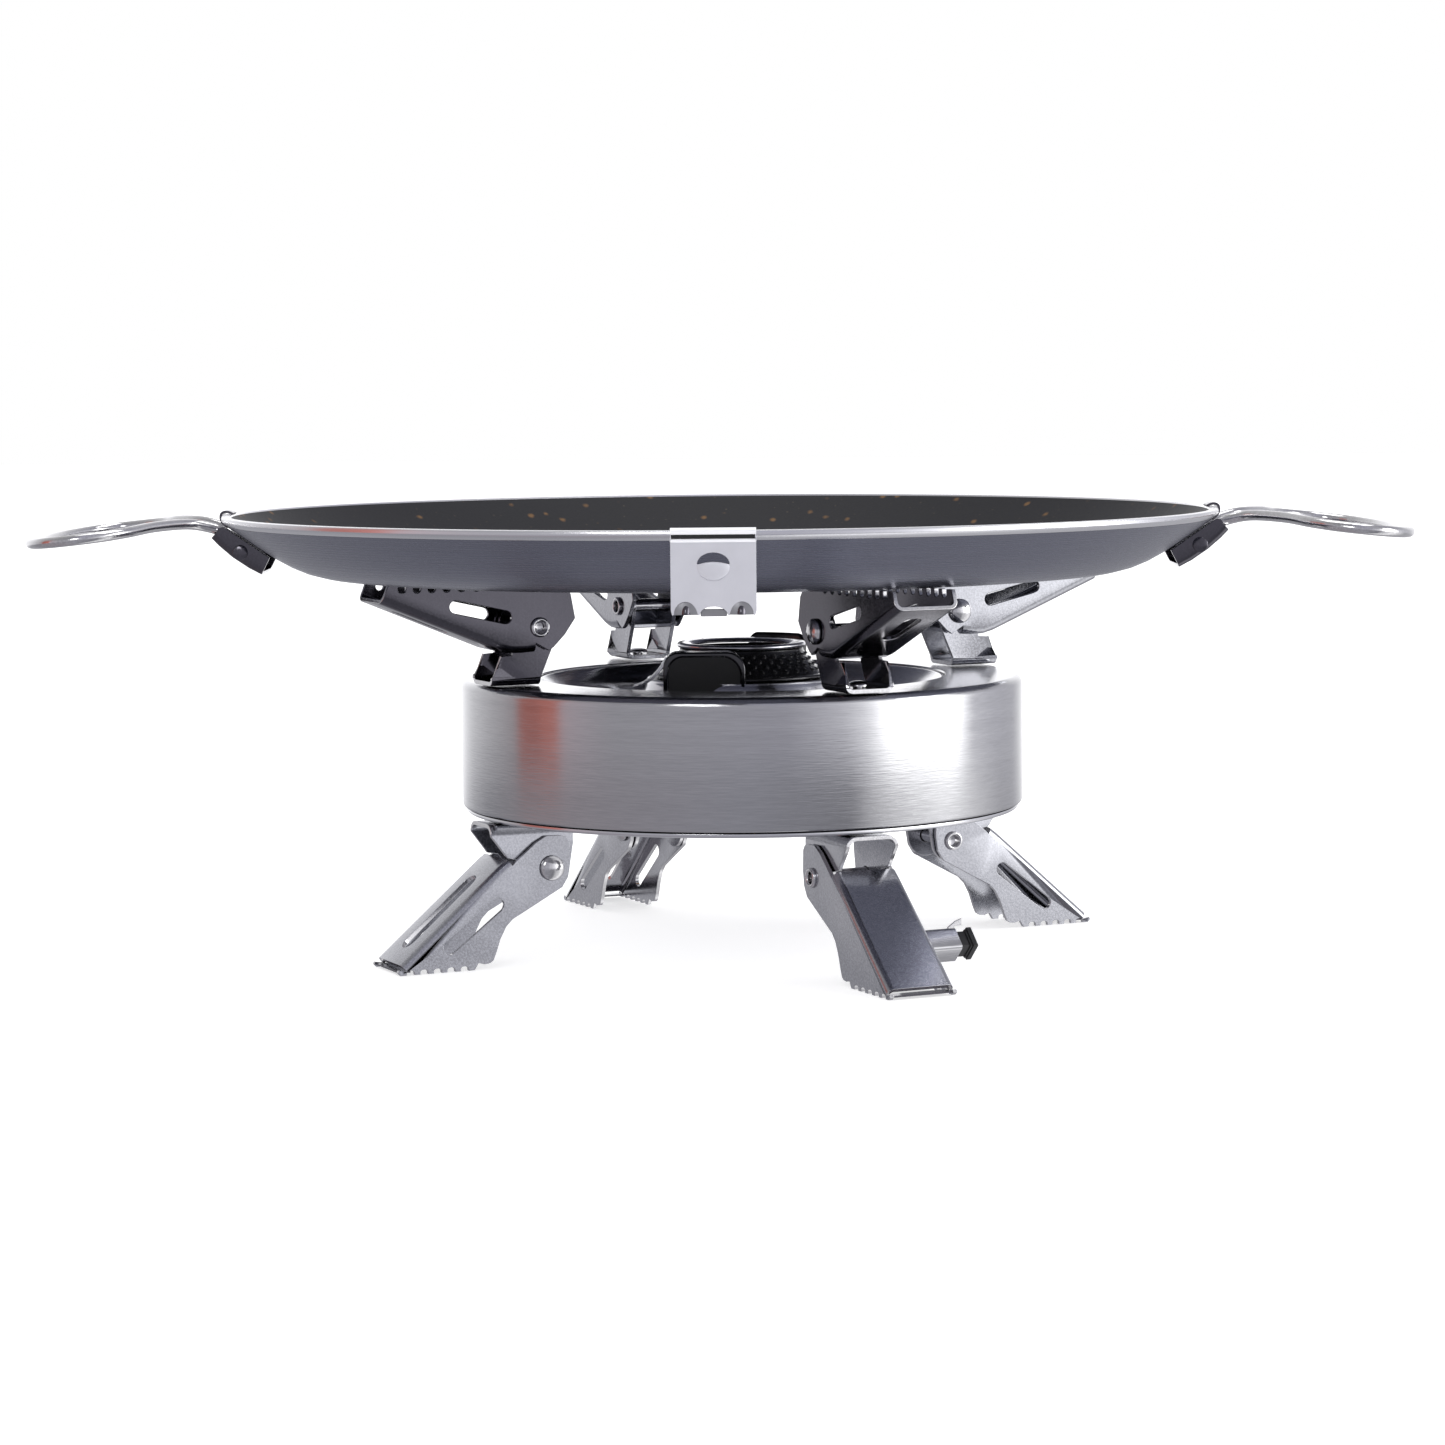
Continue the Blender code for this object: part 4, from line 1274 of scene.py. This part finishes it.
    def _electrode(self, maker: Maker) -> None:
        """The ceramic rod and its bare wire."""
        spot = node_middle("electrode")
        foot, top = node_heights("electrode")
        rod = [(0, foot), (1.9, foot), (2.0, foot + 0.3), (2.0, top - 4.9), (1.8, top - 4.4), (1.3, top - 3.7),
               (1.2, top - 3.3), (0, top - 3.3)]
        maker.piece("electrode_rod", turned(rod, 32, spot), maker.palette.ceramic, "stove", Finish.CERAMIC,
                    ["electrode"])
        path = np.array([(spot[0], spot[1], top - 3.5), (spot[0], spot[1], top - 1.8),
                         (spot[0] + 0.3, spot[1] - 0.4, top - 0.8), (spot[0] + 0.9, spot[1] - 1.1, top - 0.4)])
        maker.piece("electrode_wire", tube(curve_through(path, 6), 0.6, 12), maker.palette.wire, "stove",
                    Finish.BRIGHT)


@dataclass
class GasWay:
    """The valve, its knob and the inlet behind the drum, and the jet and mixing tube inside."""

    axis_x: float
    height: float = 60.0
    inlet_y: float = 88.0

    def along_y(self, surface: Surface) -> Surface:
        """Move a piece turned about Y onto the gas way's line."""
        return surface.moved(lambda p: p + np.array([self.axis_x, 0.0, self.height]))

    def build(self, maker: Maker) -> None:
        """Make the pieces, and dress the ones inside the drum."""
        palette = maker.palette
        body = [(0, 66.3), (5.2, 66.3), (5.2, 80.5), (7.6, 80.5), (8.0, 80.9), (8.0, 92.0), (7.0, 93.0), (7.0, 95.2),
                (6.4, 96.0), (0, 96.0)]
        maker.piece("valve_body_turned", self.along_y(lathe_y(body, 64)), palette.brass, "stove", Finish.BRASS,
                    ["valve_body"])
        steps = 180
        angle = np.linspace(0, 2 * np.pi, steps, endpoint=False)
        levels = np.array([(0.0, 96.4), (0.80, 96.4), (0.93, 96.7), (1.0, 97.6), (1.0, 106.6), (0.95, 107.6),
                           (0.84, 108.0), (0.30, 107.6), (0.0, 107.6)])
        lobe = 9.0 - 0.8 * (0.5 - 0.5 * np.cos(12 * angle)) ** 3
        r = levels[:, 0, None] * lobe[None]
        knob = np.stack([r * np.cos(angle), np.repeat(levels[:, 1, None], steps, 1), r * np.sin(angle)], 2)
        maker.piece("valve_knob_moulded", self.along_y(grid(knob, True, True)), palette.plastic, "valve_knob",
                    Finish.PLASTIC, ["valve_knob"])
        line = block((-0.5, 107.5, 2.5), (0.5, 108.1, 7.0))
        maker.piece("valve_knob_pointer", self.along_y(line), palette.ceramic, "valve_knob", Finish.PLASTIC)
        thread = []
        for k in range(9):
            level = 34.4 + k * 0.8
            thread += [(5.1, level), (5.5, level + 0.2), (5.5, level + 0.4), (5.1, level + 0.6)]
        inlet = [(2.2, 34.0), (4.9, 34.0)] + thread + [(5.0, 42.0), (5.0, 51.6), (0, 51.6), (0, 45.0), (2.2, 45.0)]
        maker.piece("inlet_thread", turned(inlet, 72, (self.axis_x, self.inlet_y)), palette.brass, "stove",
                    Finish.BRASS, ["inlet_fitting"])
        hexagon = [(self.axis_x + 7.2 * math.cos(a), self.inlet_y + 7.2 * math.sin(a))
                   for a in np.radians(np.arange(0, 360, 60))]
        hole = round_hole((self.axis_x, self.inlet_y), 5.0, 40)
        maker.piece("inlet_nut", extruded([hexagon, hole], 42.2, 48.0), palette.brass, "stove", Finish.BRASS,
                    (), 0.0, 0.4)
        inner = {"mixing_tube": palette.brushed, "gas_jet": palette.brass, "burner_grid_post": palette.enamel}
        for node, material in inner.items():
            item = bpy.data.objects[node]
            item.data.materials.clear()
            item.data.materials.append(material)


@dataclass
class Igniter:
    """The folded housing on the plain leg's cheek, and its black button."""

    sheet: float = 0.6
    middle: tuple[float, float] = (25.7, -17.0)
    side: float = 7.0
    near: float = 10.2
    far: float = 20.3
    tab_rows: tuple = ((18.4, -0.4, 0.2), (19.9, -0.4, 1.2), (20.7, 0.55, 1.75), (22.6, 0.55, 2.4))
    button_parts: tuple = (("neck", 5.0, 16.0, 23.8, 0.15), ("collar", 5.7, 23.2, 24.4, 0.25),
                           ("face", 6.4, 23.8, 25.2, 0.3))

    def diamond(self, side: float, corner: float, steps: int) -> list:
        """The outline of a square that stands on a corner.

        Args:
            side: the square's side.
            corner: how far its corners are rounded.
            steps: how many steps make a corner.

        Returns:
            The outline.
        """
        reach = side / math.sqrt(2)
        x, z = self.middle
        return rounded([(x - reach, z), (x, z - reach), (x + reach, z), (x, z + reach)], corner, steps)

    def bar(self, side: float, low: float, high: float) -> Surface:
        """A square bar across the leg, turned so that a corner points up."""
        return extruded([self.diamond(side, 0.35, 3)], low, high).moved(lambda p: p[:, (0, 2, 1)])

    def build(self, maker: Maker, hinge: Hinge) -> None:
        """Make the housing, its tab and the button."""
        palette = maker.palette
        x, z = self.middle
        side = self.side - self.sheet
        plan = self.diamond(side, 0.9, 4)
        level = self.near + self.sheet / 2
        rings = np.stack([[(a, y, b) for a, b in plan] for y in (level, self.far)])
        end = filled([plan], lambda p: np.column_stack([p[:, 0], np.full(len(p), level), p[:, 1]]))
        maker.piece("igniter_housing_folded", hinge.put(joined([grid(rings, False, True), end])), palette.brushed,
                    "leg_front_right", Finish.BRUSHED, ["igniter_housing"], self.sheet, 0.12)
        corner = z + side / math.sqrt(2)
        tab = [[(x - 0.5, y, corner + low + v * (high - low)) for v in (0.0, 0.5, 1.0)]
               for y, low, high in self.tab_rows]
        maker.piece("igniter_tab", hinge.put(grid(np.array(tab))), palette.wire, "leg_front_right", Finish.BRUSHED,
                    (), self.sheet, 0.12)
        for part, width, low, high, bevel in self.button_parts:
            maker.piece(f"igniter_button_{part}", hinge.put(self.bar(width, low, high)), palette.plastic,
                        "igniter_button", Finish.PLASTIC, ["igniter_button"] if part == "neck" else (), 0.0, bevel)


@dataclass
class Pan:
    """The spun pan, its clips and its wire handles."""

    steps: int = 320
    clip_half: float = 10.7
    clip_sheet: float = 1.0
    wire: float = 1.5
    front_x: float = -1.7
    plate_low: float = 103.9
    plate_high: float = 122.2
    plate_foot: float = 141.2
    plate_lean: float = 1.5
    wall: Loop = ((109.0, 107.3), (114.0, 107.75), (118.0, 108.8), (122.0, 110.5), (126.0, 112.75), (130.0, 115.45),
                  (134.0, 118.3), (137.5, 120.85))
    half_wire: tuple = field(default_factory=lambda: (
        (130.7, 7.6, 113.0), (135.5, 7.6, 116.45), (140.0, 7.7, 119.6), (144.2, 8.8, 121.3), (150.0, 12.6, 122.4),
        (157.5, 25.0, 122.2), (163.0, 37.0, 121.3), (169.5, 43.8, 120.4), (178.5, 45.6, 119.4),
        (186.0, 40.5, 118.6), (191.2, 28.0, 118.0), (193.8, 14.0, 117.7)))

    def build(self, maker: Maker) -> None:
        """Make the pan's skin, lining and rim, then the clips and the handles."""
        palette = maker.palette
        outer = [(0.0, 107.3), (60.0, 107.3), *self.wall, (139.3, 122.15)]
        middle = [(138.6, 122.75), (136.4, 121.3), (133.0, 118.85), (129.0, 116.1), (125.0, 113.5), (121.2, 111.4),
                  (117.4, 109.9), (113.6, 109.0), (109.0, 108.7), (60.0, 108.7), (0.0, 108.7)]
        maker.piece("pan_skin", turned(outer + middle, self.steps), palette.pan_outside, "pan", Finish.PAN,
                    ["pan_body"])
        lining_top = [(0.0, 109.5), (60.0, 109.5), (109.0, 109.5), (113.4, 109.9), (117.0, 110.9), (120.8, 112.5),
                      (124.6, 114.6), (128.6, 117.3), (132.6, 120.1), (136.2, 122.7), (138.2, 124.2)]
        lining_under = [(138.8, 123.4), (136.3, 121.7), (132.8, 119.2), (128.8, 116.4), (124.8, 113.8),
                        (121.0, 111.7), (117.3, 110.2), (113.6, 109.3), (109.0, 108.8), (60.0, 108.8), (0.0, 108.8)]
        maker.piece("pan_lining", turned(lining_top + lining_under, self.steps), palette.pan_inside, "pan",
                    Finish.PAN)
        rim = [(139.35, 122.2), (140.5, 122.95), (140.95, 123.5), (141.0, 124.1), (140.8, 124.6), (140.3, 124.8),
               (139.3, 124.8), (138.5, 124.6), (138.25, 124.2), (138.85, 123.35), (138.65, 122.8)]
        maker.piece("pan_rim_turned", turned(rim, self.steps), palette.rim, "pan", Finish.PAN)
        self._front_clip(maker)
        for side, turn in (("right", 0.0), ("left", math.pi)):
            hinge = Hinge(side, 0.0, 0.0, 0.0, turn)
            self._side_clip(maker, hinge)
            self._handle(maker, hinge)

    def _side_clip(self, maker: Maker, hinge: Hinge) -> None:
        """A channel on the sloping wall, with a pressed dimple in each cheek and a small hook over the rim."""
        path = [(129.8, 107.8), (133.4, 109.7), (138.0, 112.8), (141.8, 116.1), (143.9, 118.3)]
        rim = [(141.6, 121.4), (140.2, 121.6), (127.3, 112.7)]
        clip = Channel(path, rim, lambda x: self.clip_half + 0 * x, self.clip_sheet, 1.6, 1.0).surface()
        name = f"pan_clip_{hinge.corner}"
        # The clip, its dimples and its hook take the near-black steel, which paints shade.
        maker.piece(f"{name}_folded", hinge.put(clip), maker.palette.shade_dark, "pan", Finish.BRIGHT, [name],
                    self.clip_sheet, 0.18, edge=maker.palette.wire)
        for sign in (-1.0, 1.0):
            dome = [(2.2 * math.cos(a), 0.45 * math.sin(a)) for a in np.radians(np.linspace(0, 90, 8))]
            bump = lathe_y([(0, -0.3), (2.2, -0.3)] + dome, 36)
            bump = bump.moved(lambda p, s=sign: np.column_stack([p[:, 0] + 135.6, s * (p[:, 1] + self.clip_half),
                                                                 p[:, 2] + 114.2]))
            maker.piece(f"{name}_dimple_{'far' if sign > 0 else 'near'}", hinge.put(bump), maker.palette.shade_dark,
                        "pan", Finish.BRIGHT)
        hook = [(139.9, 121.0), (141.2, 122.3), (141.75, 123.6), (141.6, 124.9), (140.7, 125.5), (139.4, 125.4),
                (138.3, 124.9)]
        strip = curve_through(hook, 6)
        rows = np.array([[(p[0], y, p[1]) for y in (-4.0, 4.0)] for p in strip])
        maker.piece(f"{name}_hook", hinge.put(grid(rows)), maker.palette.shade_dark, "pan", Finish.BRIGHT,
                    (), 0.7, 0.12)

    def _front_clip(self, maker: Maker) -> None:
        """The empty clip: a slotted plate hemmed over the rim, with a hooded dimple and three arches below."""
        azimuth = math.radians(270.0) + math.asin(self.front_x / 141.0)
        hinge = Hinge("front", 0.0, 0.0, 0.0, azimuth)
        half = self.clip_half
        low, high, hem_low = self.plate_low, self.plate_high, 123.9

        def wall(flat: Array) -> Array:
            return np.column_stack([self.plate_reach(flat[:, 1]), flat[:, 0], flat[:, 1]])

        def arch(middle: float, reach: float, rise: float) -> list:
            turn = np.radians(np.linspace(0, 180, 15))
            return [(middle - reach * math.cos(a), low + rise * math.sin(a)) for a in turn]

        brow = [(4.05 * y, 116.4 + 3.0 * (z - 116.4)) for y, z in swept_arc((0.0, 116.4), 1.0, 4, 176, 16)]
        brow += [(4.0 * t, 117.15 - 0.75 * t ** 2) for t in np.linspace(-0.96, 0.96, 9)]
        lower = [(-half + 0.35, low - 0.3), *arch(-7.05, 2.85, 3.2), (-3.85, low - 0.3), *arch(0.0, 3.4, 2.0),
                 (3.85, low - 0.3), *arch(7.05, 2.85, 3.2), (half - 0.35, low - 0.3)]
        outline = [(-half, high), (-half, low + 1.0), *lower, (half, low + 1.0), (half, high)]
        parts = [filled([outline, brow], wall)]
        for sign in (-1.0, 1.0):
            parts.append(filled([[(sign * (half - 0.25), high), (sign * half, high), (sign * half, hem_low),
                                  (sign * (half - 0.25), hem_low)]], wall))
        cheeks = []
        for sign in (-1.0, 1.0):
            rim = [(142.6, high - 0.4), (139.8, 122.0), (127.4, 113.2), (141.2, low + 1.2)]
            cheeks.append(filled([rim], lambda p, s=sign: np.column_stack([p[:, 0], np.full(len(p), s * (half - 0.5)),
                                                                           p[:, 1]])))
        palette = maker.palette
        satin, pale, dark = palette.satin, palette.pale, palette.enamel
        maker.piece("pan_clip_front_plate", hinge.put(joined(parts)), satin, "pan", Finish.BRIGHT,
                    ["pan_clip_front"], self.clip_sheet, 0.18, edge=palette.bright)
        maker.piece("pan_clip_front_cheeks", hinge.put(joined(cheeks)), satin, "pan", Finish.BRIGHT, (), 0.8, 0.12)
        hem = curve_through([(142.8, hem_low), (142.85, 124.5), (142.4, 124.95), (141.6, 125.1), (140.6, 125.1),
                             (139.4, 125.0), (138.0, 124.6)], 6)
        rows = np.array([[(p[0], y, p[1]) for y in (-half, half)] for p in hem])
        maker.piece("pan_clip_front_hem", hinge.put(grid(rows)), pale, "pan", Finish.BRIGHT, (), 0.7, 0.12)
        fold = tube(np.array([(142.75, y, high + 0.05) for y in np.linspace(0.1 - half, half - 0.1, 9)]), 0.55, 16)
        maker.piece("pan_clip_front_fold", hinge.put(fold), pale, "pan", Finish.BRIGHT)
        # A black strip behind the slot: painted shadow in the gap between the clip's plate and the pan's rim.
        shadow_gap_strip = block((141.1, 0.1 - half, high - 1.0), (141.9, half - 0.1, 124.1))
        maker.piece("pan_clip_front_backing", hinge.put(shadow_gap_strip), dark, "pan", Finish.BRIGHT, (), 0.0, 0.1)
        lip = self.bowl((0.0, 116.3), (4.05, -3.8), 1.3, 0.75)
        maker.piece("pan_clip_front_hood", hinge.put(lip), satin, "pan", Finish.BRIGHT, (), 0.6)
        for sign in (-1.0, 1.0):
            where = "right" if sign > 0 else "left"
            # The gussets take the grey satin and the beads the near-black steel: painted shade, as both face down,
            # away from the light.
            for part, size, rise, steel in (("gusset", (3.3, 3.5), 0.7, palette.shade_grey),
                                            ("bead", (1.25, 2.4), 1.3, palette.shade_dark)):
                bulge = self.bowl((6.9 * sign, low - 0.1), size, rise, 0.0)
                maker.piece(f"pan_clip_front_{part}_{where}", hinge.put(bulge), steel, "pan", Finish.BRIGHT, (), 0.5)
        # The tab takes the grey satin: painted shade on its downward face.
        tab = block((140.2, -3.3, low - 0.55), (141.2, 3.3, low + 1.3))
        maker.piece("pan_clip_front_tab", hinge.put(tab), palette.shade_grey, "pan", Finish.BRIGHT, (), 0.0, 0.25)

    def plate_reach(self, level: Array | float) -> Array | float:
        """How far out the front clip's leaning plate stands at a height."""
        return self.plate_foot + self.plate_lean * (level - self.plate_low) / (self.plate_high - self.plate_low)

    def bowl(self, edge: tuple[float, float], size: tuple[float, float], rise: float, arched: float) -> Surface:
        """A pressed bulge shaped like a quarter of a bowl, open at one edge.

        It stands out by rise * (1 - (y/w)^2) * sqrt(1 - t^2), where t runs from the open edge to the plate.

        Args:
            edge: the middle of the open edge, across and up.
            size: half of its width, and its length, which is negative where it runs down.
            rise: how far it stands out.
            arched: how far the open edge is bowed upwards.

        Returns:
            The bulge, on the front clip's plate.
        """
        y = np.linspace(-1.0, 1.0, 25)[None]
        t = np.linspace(0.0, 1.0, 14)[:, None]
        spread = 1 - y ** 2
        level = edge[1] + arched * spread * (1 - t) + t * size[1] * np.sqrt(spread)
        out = self.plate_reach(edge[1]) + 0.1 + rise * spread * np.sqrt(np.clip(1 - t ** 2, 0, 1))
        return grid(np.stack([out + 0 * level, edge[0] + size[0] * y + 0 * level, level], 2))

    def _handle(self, maker: Maker, hinge: Hinge) -> None:
        """One wire handle: a loop of round wire whose two ends run down inside the clip."""
        half = list(self.half_wire)
        loop = half + [(194.5, 0.0, 117.6)] + [(x, -y, z) for x, y, z in reversed(half)]
        path = curve_through(loop, 12)
        name = f"wire_handle_{hinge.corner}"
        maker.piece(f"{name}_bent", hinge.put(tube(path, self.wire, 24)), maker.palette.wire,
                    f"handle_{hinge.corner}", Finish.BRIGHT, [name])


# ----------------------------------------------------------------------------------------------------------------
# Studio
# ----------------------------------------------------------------------------------------------------------------


@dataclass
class Studio:
    """White floor, soft lights and the camera."""

    camera_at: tuple[float, float, float] = (0.00024, -1.09897, 0.16454)
    lens: float = 96.0
    pitch: float = 5.232
    roll: float = -0.486
    strength: float = 3.0
    matt_light: float = 0.95
    floor_half: float = 6.0
    aim: tuple[float, float, float] = (0.0, 0.0, 0.07)
    lights: tuple = (
        ("front_fill", (-0.35, -1.1, 0.55), (0.35, 0.35), 1.6),
        ("right_key", (1.2, -0.15, 0.5), (0.5, 0.8), 3.0),
        ("top", (0.1, 0.25, 1.2), (0.9, 0.6), 5.0))
    wall_tones: tuple = (
        (0.0, (0.185, 0.066, 0.055)), (0.026, (0.21, 0.075, 0.062)), (0.034, (0.19, 0.165, 0.18)),
        (0.10, (0.145, 0.144, 0.156)), (0.30, (0.156, 0.155, 0.175)), (0.365, (0.27, 0.27, 0.29)),
        (0.395, (0.42, 0.42, 0.44)), (0.425, (0.95, 0.95, 0.96)), (0.515, (0.95, 0.95, 0.96)),
        (0.545, (0.28, 0.28, 0.30)), (0.60, (0.22, 0.22, 0.24)), (0.655, (0.20, 0.20, 0.215)),
        (0.70, (0.34, 0.34, 0.35)), (0.75, (0.50, 0.50, 0.51)), (0.80, (0.40, 0.40, 0.41)),
        (0.85, (0.28, 0.28, 0.29)), (0.92, (0.19, 0.187, 0.195)), (0.958, (0.15, 0.14, 0.148)),
        (0.968, (0.155, 0.058, 0.05)))
    ground_tones: tuple = (
        (0.0, (0.12, 0.11, 0.12)), (0.25, (0.12, 0.12, 0.135)), (0.375, (0.09, 0.09, 0.10)),
        (0.40, (0.20, 0.20, 0.21)), (0.50, (0.42, 0.42, 0.43)), (0.62, (0.16, 0.16, 0.17)),
        (0.78, (0.14, 0.14, 0.15)), (0.90, (0.10, 0.10, 0.11)), (1.0, (0.12, 0.11, 0.12)))
    ceiling_tones: tuple = (
        (0.0, (0.13, 0.13, 0.135)), (0.18, (0.11, 0.11, 0.12)), (0.27, (0.15, 0.15, 0.178)),
        (0.45, (0.155, 0.155, 0.165)), (0.60, (0.13, 0.13, 0.15)), (0.78, (0.21, 0.21, 0.215)),
        (1.0, (0.14, 0.14, 0.145)))

    def camera(self) -> None:
        """Set the camera."""
        data = bpy.data.cameras.new("camera")
        data.lens = self.lens
        data.sensor_width = 36.0
        item = bpy.data.objects.new("camera", data)
        tip = Matrix.Rotation(math.radians(90 - self.pitch), 4, "X")
        roll = Matrix.Rotation(math.radians(self.roll), 4, "Z")
        item.matrix_world = Matrix.Translation(self.camera_at) @ tip @ roll
        bpy.context.scene.collection.objects.link(item)
        bpy.context.scene.camera = item

    def softbox(self, name: str, at: tuple, target: tuple, size: tuple, power: float) -> None:
        """Hang one rectangular light.

        Args:
            name: the light's name.
            at: where it hangs.
            target: the point it faces.
            size: its width and height, in metres.
            power: its strength, in watts.
        """
        data = bpy.data.lights.new(name, "AREA")
        data.shape = "RECTANGLE"
        data.size, data.size_y = size
        data.energy = power
        item = bpy.data.objects.new(name, data)
        away = np.array(at, float) - np.array(target, float)
        yaw = math.atan2(away[1], away[0]) + math.pi / 2
        tilt = math.acos(away[2] / np.linalg.norm(away))
        turn = Matrix.Rotation(yaw, 4, "Z") @ Matrix.Rotation(tilt, 4, "X")
        item.matrix_world = Matrix.Translation(at) @ turn
        bpy.context.scene.collection.objects.link(item)

    def floor(self) -> None:
        """Lay the pale floor."""
        mesh = bpy.data.meshes.new("floor")
        half = self.floor_half
        mesh.from_pydata([(-half, -half, 0), (half, -half, 0), (half, half, 0), (-half, half, 0)], [], [(0, 1, 2, 3)])
        item = bpy.data.objects.new("floor", mesh)
        item.location.z = -0.0002
        shader = Shader("floor_paper")
        shader.set(base_color=(0.86, 0.86, 0.865), roughness=0.9, specular_ior_level=0.1,
                   emission_color=(1.0, 1.0, 1.0), emission_strength=0.60)
        mesh.materials.append(shader.material)
        bpy.context.scene.collection.objects.link(item)
        item.visible_glossy = False

    def world(self) -> None:
        """The room around the floor, by compass direction and by height above the horizon.

        The compass runs from 0 at the left through 0.25 at the camera's side, 0.5 at the right and 0.75 at the
        back. What the eye sees is plain white, and what matt surfaces gather is an even white.
        """
        world = bpy.data.worlds.new("studio")
        bpy.context.scene.world = world
        world.use_nodes = True
        world.node_tree.nodes.clear()
        shop = NodeShop(world.node_tree)
        direction = shop.node("ShaderNodeTexCoord", {}, {}, "Generated")
        x, y, z = shop.split(direction)
        compass = y._math("ARCTAN2", x) * (0.5 / math.pi) + 0.5
        walls = shop.ramp(compass, self.wall_tones)
        ground = shop.ramp(compass, self.ground_tones)
        ceiling = shop.ramp(compass, self.ceiling_tones)
        low = shop.blend(shop.ease(z, -0.20, -0.08), ground, walls)
        room = shop.blend(shop.ease(z, 0.18, 0.62), low, ceiling)
        rays = world.node_tree.nodes.new("ShaderNodeLightPath")
        plain = Wire(shop, rays.outputs["Is Camera Ray"])
        matt = Wire(shop, rays.outputs["Is Diffuse Ray"])
        lit = shop.blend(matt, room, tuple(self.matt_light / self.strength for _ in "rgb"))
        seen = shop.blend(plain, lit, tuple(1.0 / self.strength for _ in "rgb"))
        glow = shop.node("ShaderNodeBackground", {}, {0: seen, 1: self.strength})
        shop.node("ShaderNodeOutputWorld", {}, {0: glow}, None)

    def build(self) -> None:
        """Set up the studio."""
        self.camera()
        self.floor()
        self.world()
        for name, at, size, power in self.lights:
            self.softbox(name, at, self.aim, size, power)
        bpy.context.scene.view_settings.view_transform = "Standard"


def main() -> None:
    """Build the stove around the frame."""
    logging.basicConfig(level=logging.INFO, format="%(name)s: %(message)s")
    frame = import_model()
    low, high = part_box("drum_shell")
    axis_x = (low[0] + high[0]) / 2
    Studio().build()
    maker = Maker(Palette(axis_x))
    axis_mm = axis_x / MM
    leg_hinges = hinges(frame, "leg_fold_", axis_mm)
    Drum(axis_mm).build(maker)
    Burner(axis_mm).build(maker)
    GasWay(axis_mm).build(maker)
    Legs().build(maker, leg_hinges)
    Supports().build(maker, hinges(frame, "support_fold_", axis_mm))
    Igniter().build(maker, next(h for h in leg_hinges if h.corner == Legs.plain_corner))
    Pan().build(maker)
    log.info("%d pieces", maker.count)


if __name__ == "__main__":
    main()
